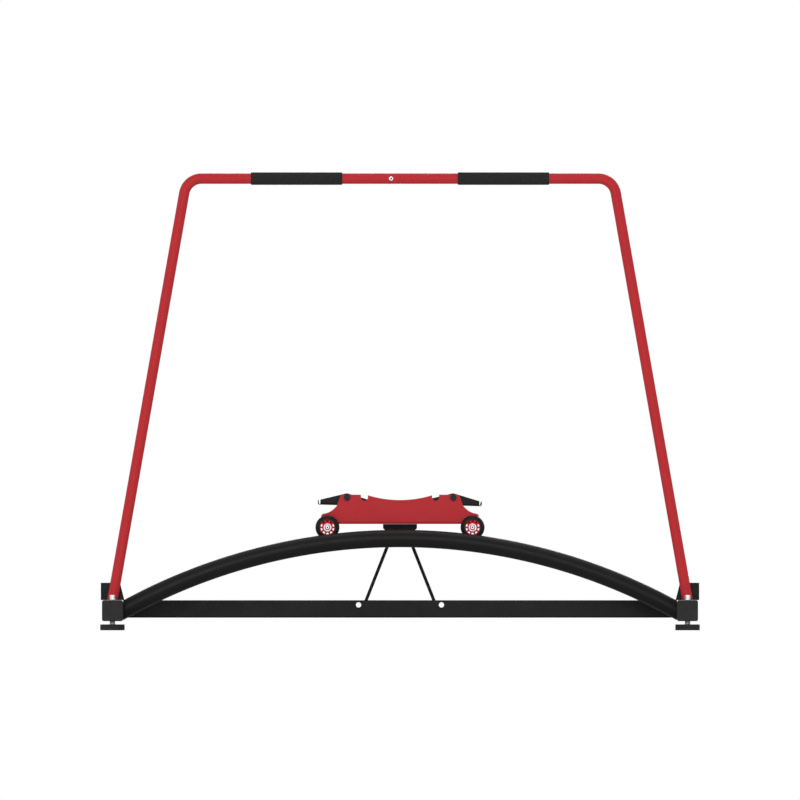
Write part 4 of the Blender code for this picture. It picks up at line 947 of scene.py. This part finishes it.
def cord(side, sign):
    """One cord: a still stretch through the beam, then the free stretch in ten pieces.

    The free stretch is a braid round a second one. The outer braid's rings lie square to the cord,
    and the inner one's are cut on a slant.
    """
    wrap = GUIDE_RADIUS + GAP + CORD
    across, rise = GUIDE_X - CORD_TOP_X, BLOCK_BOTTOM - GUIDE_Z
    slope = math.atan2(across, rise) - math.asin(wrap / math.hypot(across, rise))
    start_x = ANCHOR_X + ANCHOR_SHEET / 2 + GAP
    low_x = np.arange(start_x + CORD_BULB_LENGTH, GUIDE_X, -0.0006)
    rounded_end = np.clip((low_x - start_x) / 0.0015, 0, 1)
    neck = np.clip((start_x + 0.0203 - low_x) / 0.003, 0.3, 1)
    angle = np.linspace(-UP, -math.pi + slope, 60)
    x = np.concatenate([low_x, GUIDE_X + wrap * np.cos(angle)])
    z = np.concatenate([0 * low_x + CORD_LOW_Z, GUIDE_Z + wrap * np.sin(angle)])
    radii = np.concatenate([CORD + (CORD_BULB - CORD) * (rounded_end * neck), 0 * angle + CORD])
    route = np.stack([x, 0 * x, z], 1)
    rings, light, anchored = braid(route, radii, 0.0)
    cord_piece(side, "anchored", rings, light, "base")

    foot = route[-1]
    way = np.array([-math.sin(slope), 0, math.cos(slope)])
    free = (BLOCK_BOTTOM - foot[2]) / math.cos(slope)
    top_z = BLOCK_TOP - GAP - CORD * math.sin(slope)
    total = (top_z - foot[2]) / math.cos(slope)
    core_radius = CORD - BRAID_DEPTH - 0.0001
    braids = [
        ("cover", CORD, way, 0.0004, 80),
        ("core", core_radius, np.array(CORE_NORMAL), 0.0006, 60),
    ]
    for name, radius, normal, step, sides in braids:
        done = anchored
        for i, (follow, next_follow) in enumerate(zip(CORD_FOLLOW, CORD_FOLLOW[1:])):
            first, last = CORD_SHARES[i] * free, CORD_SHARES[i + 1] * free
            reach = total if next_follow == 1 else last
            count = max(8, int((reach - first) / step))
            straight = foot + np.linspace(first, reach, count + 1)[:, None] * way
            rings, light, done = braid(straight, np.full(count + 1, radius), done, sides)
            rings = slanted(rings, straight, way, normal)
            obj = cord_piece(side, f"{name}_{i}", rings, light, "later")
            begin, finish = blend_ends(follow, next_follow, first, last)
            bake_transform(obj)


def blend_ends(low, high, first, last):
    """Where a smooth step from 0 to 1 has to start and end to pass through two values."""
    at_low, at_high = (0.5 - math.sin(math.asin(1 - 2 * value) / 3) for value in (low, high))
    length = (last - first) / (at_high - at_low)
    start = first - at_low * length
    return start, start + length


# Folded sheets


def bent(reach, flat, radius):
    """Where a point of a sheet lies once the sheet is turned up: (across, up)."""
    turned_length = radius * UP
    if reach <= flat:
        return reach, 0.0
    if reach < flat + turned_length:
        angle = (reach - flat) / radius
        return flat + radius * math.sin(angle), radius * (1 - math.cos(angle))
    return flat + radius, radius + reach - flat - turned_length


def fold_lines(axis, flat, radius, steps):
    """Where the flat sheet is divided for one fold, as (axis, offset)."""
    return [(axis, flat + radius * UP * k / steps) for k in range(steps + 1)]


def folded(outlines, lines, place, sheet, edge):
    """A sheet cut to outlines, folded by a function of its points, thickened and edge-rounded."""
    bm = bmesh_of(filled(outlines))
    for axis, offset in lines:
        for sign in (-1, 1):
            normal = Vector((1, 0, 0)) if axis == "x" else Vector((0, 1, 0))
            parts = bm.verts[:] + bm.edges[:] + bm.faces[:]
            at = normal * sign * offset
            bmesh.ops.bisect_plane(bm, geom=parts, dist=1e-7, plane_co=at, plane_no=normal)
    for vert in bm.verts:
        vert.co = place(vert.co.x, vert.co.y)
    flat_enough = math.radians(0.5)
    bmesh.ops.dissolve_limit(bm, angle_limit=flat_enough, verts=bm.verts[:], edges=bm.edges[:])
    # Only the faces pass through a form, so loose edges are left behind
    obj = linked(bmesh_of(form_of(bm)))
    thicken(obj, sheet, 1)
    round_edges(obj, edge, 40)
    return evaluated(obj)


# Carriage


def carriage_frame():
    """The folded carriage: two outlined plates and the web between them, as one bent sheet."""
    flat = PLATE_Y - PLATE_BEND
    upright = flat + PLATE_BEND * UP

    def sheet_y(height):
        return upright + height - CARRIAGE_BOTTOM - PLATE_BEND

    # One plate's outline as (x, z), from the middle of its top to the web's bend relief
    half = []
    for x in np.linspace(0, NOTCH_X - NOTCH_RADIUS, 24):
        half.append((x, WHEEL_Z + 0.0782 + SADDLE_RADIUS - math.sqrt(SADDLE_RADIUS**2 - x**2)))
    half += arc((NOTCH_X, WHEEL_Z + 0.0860), NOTCH_RADIUS, math.pi, TURN, 16)
    boss, boss_start = 0.013, math.radians(20)
    shoulder = fillet(
        [
            (0.1117, CARRIAGE_TOP, 0),
            (0.1686, CARRIAGE_TOP, 0.002),
            (0.1814, WHEEL_Z + 0.0603, 0.012),
            (0.1997, WHEEL_Z + 0.0434, 0.045),
            (0.2254, WHEEL_Z + 0.0376, 0.0086),
            (0.2254, WHEEL_Z + 0.0240, 0.004),
            (WHEEL_X + boss * math.cos(boss_start), WHEEL_Z + boss * math.sin(boss_start), 0),
        ],
        steps=10,
    )
    half += shoulder[:-1]
    half += arc((WHEEL_X, WHEEL_Z), boss, boss_start, -math.pi, 20)
    web_end, relief = 0.1795, 0.003
    half.append((WHEEL_X - boss, CARRIAGE_BOTTOM))
    half.append((web_end + relief, CARRIAGE_BOTTOM))
    top = CARRIAGE_BOTTOM + 0.010
    half += arc((web_end + relief / 2, top - relief / 2), relief / 2, 0, math.pi, 8)

    (_, crest), *quarter = [(x, sheet_y(z)) for x, z in half]
    outline = [*quarter, *[(x, -y) for x, y in reversed(quarter)], (0, -crest)]
    outline += [*[(-x, -y) for x, y in quarter], *[(-x, y) for x, y in reversed(quarter)]]
    outline.append((0, crest))
    holes = []
    for sign in (-1, 1):
        for way in (-1, 1):
            for x, z in ((PIVOT_X, PIVOT_Z), (WHEEL_X, WHEEL_Z)):
                holes.append(hole(sign * x, way * sheet_y(z), SHEET_HOLE))
    middle = web_end + relief / 2

    def place(x, y):
        across, up = bent(abs(y), flat, PLATE_BEND)
        if abs(x) > middle:
            across, up = PLATE_Y, abs(y) - upright + PLATE_BEND
        return Vector((x, math.copysign(across, y), CARRIAGE_BOTTOM + up))

    lines = fold_lines("y", flat, PLATE_BEND, 8)
    detail("carriage_frame", folded([outline, *holes], lines, place, PLATE_SHEET, 0.0006))


def cord_block():
    """The block under the web, with rounded edges and the cords' bores."""
    half, drop = BLOCK_WIDTH / 2, 0.0123
    corners = [
        (-half, BLOCK_HEIGHT, 0.0008),
        (-half, drop, 0.002),
        (drop - half, 0, 0.002),
        (half - drop, 0, 0.002),
        (half, drop, 0.002),
        (half, BLOCK_HEIGHT, 0.0008),
    ]
    block = prism(fillet(corners, 4, True), BLOCK_DEPTH)
    cutters = []
    for sign in SIDES.values():
        lean = Matrix.Rotation(-sign * CORD_LEAN, 4, "Y")
        place = Matrix.Translation((sign * CORD_TOP_X, 0, BLOCK_BOTTOM)) @ lean
        for radius, low in ((CORD + GAP, -0.05), (0.0093, 0.009)):
            cutters.append(moved(rod(radius, low, 0.05, 48), place))
    detail("cord_block", carved(laid(block, "-Y", (0, 0, BLOCK_BOTTOM)), cutters, 0.0009, 50))


def tyre_profile():
    """The crowned tread with its mould line and shoulder grooves, then the beads."""
    first = math.acos((HUB_RADIUS - TYRE_RING) / TYRE_CROWN)
    rows = []
    for angle in np.linspace(first, -first, 61):
        radius, height = TYRE_RING + TYRE_CROWN * math.cos(angle), TYRE_CROWN * math.sin(angle)
        if abs(angle) < 0.02:
            radius += 0.00008
        if 1.18 < abs(angle) < 1.26:
            radius, height = radius - 0.00025, height * 0.965
        rows.append((radius, height))
    bead = [(0.0214, -0.0119), (0.0213, -0.0117), (0.0214, -0.0112), (HUB_RADIUS, -0.0111)]
    return rows + bead + flipped(bead)


def hub_forms():
    """The hub's windowed web, its rim and its bored boss."""
    windows = 10
    pitch = TURN / windows
    holes = []
    for i in range(windows):
        middle, half = UP + i * pitch, pitch * 0.58 / 2
        wedge = []
        for radius, share in ((0.0198, 1), (0.0198, -1), (0.0153, -0.8), (0.0153, 0.8)):
            turn = middle + share * half
            wedge.append((radius * math.cos(turn), radius * math.sin(turn), 0.0009))
        holes.append(fillet(wedge, 4, True))
    holes.append(hole(0, 0, 0.0142, 96))
    disc = arc((0, 0), 0.0212, 0, TURN, 96)[:-1]
    forms = [filled([disc, *holes], 0.0160, 0.0006)]
    # One end's corners of the rim and the boss, as (radius, height, rounding)
    rim = [(0.0200, 0.0075, 0.0004), (0.0205, 0.0108, 0.0003), (0.0224, 0.0108, 0.0004)]
    boss = [(0.01325, 0.0116, 0), (0.0109, 0.0116, 0.0001), (0.0109, 0.0122, 0.0002)]
    boss += [(0.0144, 0.0122, 0.0006), (0.0151, 0.0110, 0.0005), (0.0153, 0.0070, 0.0004)]
    for profile in (rim, boss):
        forms.append(stack(fillet(profile + flipped(profile), 3, True), 120, looped=True))
    return forms


def wheel(side, sign, end, way):
    """A crowned tyre on a windowed hub with a shielded bearing."""
    at = (sign * WHEEL_X, way * WHEEL_Y, WHEEL_Z)
    along = facing(way)
    name = f"{side}_{end}"
    detail(f"{name}_tyre", laid(stack(tyre_profile(), 120, looped=True), along, at))
    detail(f"{name}_hub", laid(merged(*hub_forms()), along, at))

    races = [ring(0.0053, 0.0066, -0.0120, 0.0120, 0.0003)]
    races.append(ring(0.0102, 0.0130, -0.0115, 0.0115, 0.0003))
    # Black seal rings; their black tone is also painted shade for the shadowed gap round the axle
    # head.
    seals_with_painted_shade = []
    for face in (-1, 1):
        races.append(ring(0.0078, 0.0104, *sorted((face * 0.0096, face * 0.0111)), 0.0003))
        seals_with_painted_shade.append(ring(0.0065, 0.0080, *sorted((face * 0.0088, face * 0.0105)), 0.0002))
    node = f"{name}_wheel_bearing"
    piece(f"{node}_races", laid(merged(*races), along, at), node)
    piece(f"{node}_seals", laid(merged(*seals_with_painted_shade), along, at), node, "black_plastic")


def wheel_axle(side, sign, end, way):
    """The axle bolt with a socket in its head, its spacer, and its lock nut inside the plate."""
    plate_out = -0.0152
    nut = plate_out - PLATE_SHEET - GAP
    forms = [
        socket_head(0.0062, 0.0133, 0.0173, 0.0045, 0.0020, 0.80),
        rod(0.005, nut - 0.010, 0.0130, 32),
        ring(0.0052, 0.0070, plate_out + GAP, -0.0123, 0.0003),
        hexagon(0.017, nut - 0.0062, nut, both=True),
        ring(0.0050, 0.0072, nut - 0.0080, nut - 0.0058, 0.0006),
        bolt_end(nut - 0.0115, nut - 0.0070),
    ]
    # A black-oxide washer whose black ring round the head is also painted shade, and a black plug
    # in the head's socket as painted shadow.
    painted_shade_washer_and_socket = [ring(0.0051, 0.0077, 0.0123, 0.0132, 0.0002), hexagon(0.0044, 0.0150, 0.0158)]
    at = (sign * WHEEL_X, way * WHEEL_Y, WHEEL_Z)
    name = f"{side}_{end}_wheel_axle"
    detail(name, laid(merged(*forms), facing(way), at))
    piece(f"{name}_washer", laid(merged(*painted_shade_washer_and_socket), facing(way), at), name, "black_oxide")


# Pedals


def pedal_place(sign):
    return Matrix.Translation((sign * PIVOT_X, 0, PIVOT_Z)) @ Matrix.Rotation(TILT, 4, "Y")


def pedal_pan(side, sign):
    """The pressed pedal: one sheet with two low lips and an ear at each end."""
    flat_x, flat_y = PEDAL_WIDTH / 2 - PAN_BEND, PEDAL_HALF - PAN_BEND
    upright_x, upright_y = flat_x + PAN_BEND * UP, flat_y + PAN_BEND * UP
    lip = upright_x + 0.0137 - PAN_BEND
    tray = PEDAL_HALF - 0.005 - PAN_SHEET
    tip = PEDAL_WIDTH / 2 - PAN_SHEET - 0.005 + 0.0005
    top = EAR_RADIUS / math.cos(EAR_SLOPE) - tip * math.tan(EAR_SLOPE)

    def sheet_y(height):
        return upright_y + height - PAN_LOW - PAN_BEND

    crest = arc((0, 0), EAR_RADIUS, UP - EAR_SLOPE, UP, 5)
    crest_x, crest_z = crest[0]
    ear = [(tip, sheet_y(0) - 0.02, 0), (tip, sheet_y(top), 0.0015), (crest_x, sheet_y(crest_z), 0)]
    corner = fillet([(lip, 0, 0), (lip, tray, 0.002), (tip, tray, 0.0)], 4)
    quarter = [(lip, 0.0), *corner[1:-1]]
    quarter += [(tip + 0.0008, tray), (tip, tray + 0.0008)]
    quarter += fillet(ear, 4)[1:-1]
    quarter += [(x, sheet_y(z)) for x, z in crest]
    outline = [*quarter, *[(-x, y) for x, y in reversed(quarter[:-1])]]
    outline += [(-x, -y) for x, y in quarter[1:]]
    outline += [(x, -y) for x, y in reversed(quarter[1:-1])]
    holes = [hole(0, way * sheet_y(0), SHEET_HOLE) for way in (-1, 1)]

    def place(x, y):
        if abs(y) > tray + 0.0004:
            across, up = bent(abs(y), flat_y, PAN_BEND)
            return Vector((x, math.copysign(across, y), PAN_LOW + up))
        across, up = bent(abs(x), flat_x, PAN_BEND)
        return Vector((math.copysign(across, x), y, PAN_LOW + up))

    lines = fold_lines("x", flat_x, PAN_BEND, 6) + fold_lines("y", flat_y, PAN_BEND, 6)
    form = folded([outline, *holes], lines, place, PAN_SHEET, 0.0005)
    detail(f"{side}_pedal_pan", moved(form, pedal_place(sign)))


TREAD_MARGIN = 0.0085
TREAD_CORNER = 0.010
TREAD_BASE = 0.003
RIB_PITCH = 0.034
RIB_HALF = 0.008
RIB_RISE = 0.0012
RIB_FLANK = 0.0012
GROOVE_PITCH = 0.0020
GROOVE_DEPTH = 0.00055


def pedal_tread(side, sign):
    """A rubber mat with eight broad ribs, each cut across by fine grooves."""
    half_x, half_y = PEDAL_WIDTH / 2 - TREAD_MARGIN, PEDAL_HALF - TREAD_MARGIN
    low = PAN_LOW + PAN_SHEET + GAP
    edge = [0.985, 0.995, 1.0]
    columns = np.concatenate([[-share for share in edge[::-1]], np.linspace(-0.97, 0.97, 45), edge])
    rings = []
    for y in np.concatenate([[-half_y], np.arange(-half_y + 0.0003, half_y, 0.0004), [half_y]]):
        nearest = max(abs(y) - (half_y - TREAD_CORNER), 0)
        inset = TREAD_CORNER - math.sqrt(max(TREAD_CORNER**2 - nearest**2, 0))
        x = columns * (half_x - inset)
        phase = (y / RIB_PITCH - 0.5) - round(y / RIB_PITCH - 0.5)
        offset = abs(phase) * RIB_PITCH
        rib = np.clip((RIB_HALF - offset) / RIB_FLANK, 0, 1) if abs(y) < 4 * RIB_PITCH else 0.0
        groove = 0.5 - 0.5 * math.cos(2 * math.pi * offset / GROOVE_PITCH)
        side_fade = np.clip((half_x - 0.010 - np.abs(x)) / RIB_FLANK, 0, 1)
        height = TREAD_BASE + rib * side_fade * (RIB_RISE - GROOVE_DEPTH * groove)
        end_fade = np.clip((half_y - abs(y)) / 0.0006, 0.35, 1)
        rim = np.clip((1 - np.abs(columns)) / 0.012, 0, 1) ** 0.5
        height = height * (0.55 + 0.45 * rim) * end_fade
        upper = [(a, y, low + b) for a, b in zip(x, height)]
        rings.append(upper[::-1] + [(x[0], y, low), (x[-1], y, low)])
    detail(f"{side}_pedal_tread", moved(lofted(rings), pedal_place(sign)))


def pivot_bolt(side, sign, end, way):
    """A hexagon bolt through the plate and the pedal's ear, with its nut inside."""
    seat = PLATE_Y + GAP
    ear_in = PEDAL_HALF - PAN_SHEET - GAP
    forms = [
        ring(0.0052, 0.0082, seat, seat + 0.0005, 0.0002),
        hexagon(0.017, seat + 0.0005, seat + 0.0064),
        rod(0.005, ear_in - 0.009, seat + 0.002, 32),
        hexagon(0.017, ear_in - 0.0080, ear_in, both=True),
        bolt_end(ear_in - 0.0100, ear_in - 0.0070),
    ]
    at = (sign * PIVOT_X, 0, PIVOT_Z)
    detail(f"{side}_{end}_pivot_bolt", laid(merged(*forms), facing(way), at))


def build():
    for end, way in ENDS.items():
        rail(end, way)
    base_beam()
    joint_screw()
    carriage_frame()
    cord_block()
    of_a_side = crossbar, cord, handle_tube, grip, handle_bracket, leg_bolts, pedal_pan, pedal_tread
    for side, sign in SIDES.items():
        for make in of_a_side:
            make(side, sign)
        for end, way in ENDS.items():
            for make in (end_cap, levelling_foot, wheel, wheel_axle, pivot_bolt):
                make(side, sign, end, way)


build()


# Stage

WHITE = (1, 1, 1, 1)
PIXELS_PER_METRE = 350
FLOOR_RADIUS = 30
FLOOR_SHADED = 1.5
FLOOR_WHITE = 2.7
WORLD_LIGHT = 0.20
# Each lamp's place, spread and strength
LAMPS = {
    "key": ((-1.3, -5.0, 1.7), 0.5, 1.24),
    "fill": ((0.2, -5.2, 0.4), 0.5, 0.88),
    "top": ((0.3, 0.3, 4.6), 0.7, 1.00),
    "back": ((0.9, 5.0, 1.9), 0.6, 1.00),
    "left": ((-5.2, 0.3, 1.8), 0.6, 0.50),
    "right": ((5.2, -0.3, 1.8), 0.6, 0.50),
}


def placed(name, data, place, rotation=(0, 0, 0)):
    obj = bpy.data.objects.new(name, data)
    obj.location = place
    obj.rotation_euler = rotation
    bpy.context.scene.collection.objects.link(obj)
    return obj


def seeing_rays(tree):
    """1 for the rays that show the surround: the camera's, and those in shine and glass."""
    path = added(tree, "LightPath")
    total = path.outputs["Is Camera Ray"]
    for ray in ("Is Glossy Ray", "Is Transmission Ray"):
        either = added(tree, "Math", {0: total, 1: path.outputs[ray]}, operation="MAXIMUM")
        total = either.outputs[0]
    return total


def fade_to_white(tree, shader):
    """The floor turns as white as the surround with distance, only for the rays that show it."""
    reach = added(tree, "VectorMath", {0: own_place(tree)}, operation="LENGTH")
    limits = {"From Min": FLOOR_SHADED, "From Max": FLOOR_WHITE, "Value": reach.outputs["Value"]}
    fade = added(tree, "MapRange", limits, interpolation_type="SMOOTHSTEP").outputs["Result"]
    share = added(tree, "Math", {0: fade, 1: seeing_rays(tree)}, operation="MULTIPLY").outputs[0]
    white = added(tree, "Emission", {"Color": WHITE, "Strength": 1.0}).outputs[0]
    pick = added(tree, "MixShader", {0: share, 1: shader.outputs[0], 2: white})
    tree.links.new(pick.outputs[0], tree.nodes["Material Output"].inputs["Surface"])


def floor():
    """A pale floor just under the machine."""
    bm = bmesh.new()
    bmesh.ops.create_circle(bm, cap_ends=True, segments=96, radius=FLOOR_RADIUS)
    mesh = bpy.data.meshes.new("floor")
    bm.to_mesh(mesh)
    bm.free()
    placed("floor", mesh, (0, 0, -0.0005))
    made, tree, shader = new_material("floor")
    fed(tree, shader, {"Base Color": (0.85, 0.85, 0.86, 1), "Roughness": 0.9})
    fade_to_white(tree, shader)
    mesh.materials.append(made)


def surround():
    """A white world for the rays that show it, and a faint light from it for the rest."""
    scene = bpy.context.scene
    scene.world = scene.world or bpy.data.worlds.new("world")
    scene.world.use_nodes = True
    tree = scene.world.node_tree
    tree.nodes.clear()
    lit = added(tree, "Background", {"Color": WHITE, "Strength": WORLD_LIGHT}).outputs[0]
    seen = added(tree, "Background", {"Color": WHITE, "Strength": 1.0}).outputs[0]
    pick = added(tree, "MixShader", {0: seeing_rays(tree), 1: lit, 2: seen})
    added(tree, "OutputWorld", {"Surface": pick.outputs[0]})


def stage():
    """A pale floor, a white surround for the camera, and soft lamps at a plain level."""
    scene = bpy.context.scene
    scene.view_settings.view_transform = "Standard"
    camera = bpy.data.cameras.new("camera")
    camera.type = "ORTHO"
    camera.ortho_scale = 800 / PIXELS_PER_METRE
    scene.camera = placed("camera", camera, (0, -6, 0.658), (UP, 0, 0))
    floor()
    surround()
    for name, (place, spread, strength) in LAMPS.items():
        lamp = bpy.data.lights.new(name, "SUN")
        lamp.angle = spread
        lamp.energy = strength
        placed(name, lamp, place, Vector(place).to_track_quat("Z", "Y").to_euler())


stage()
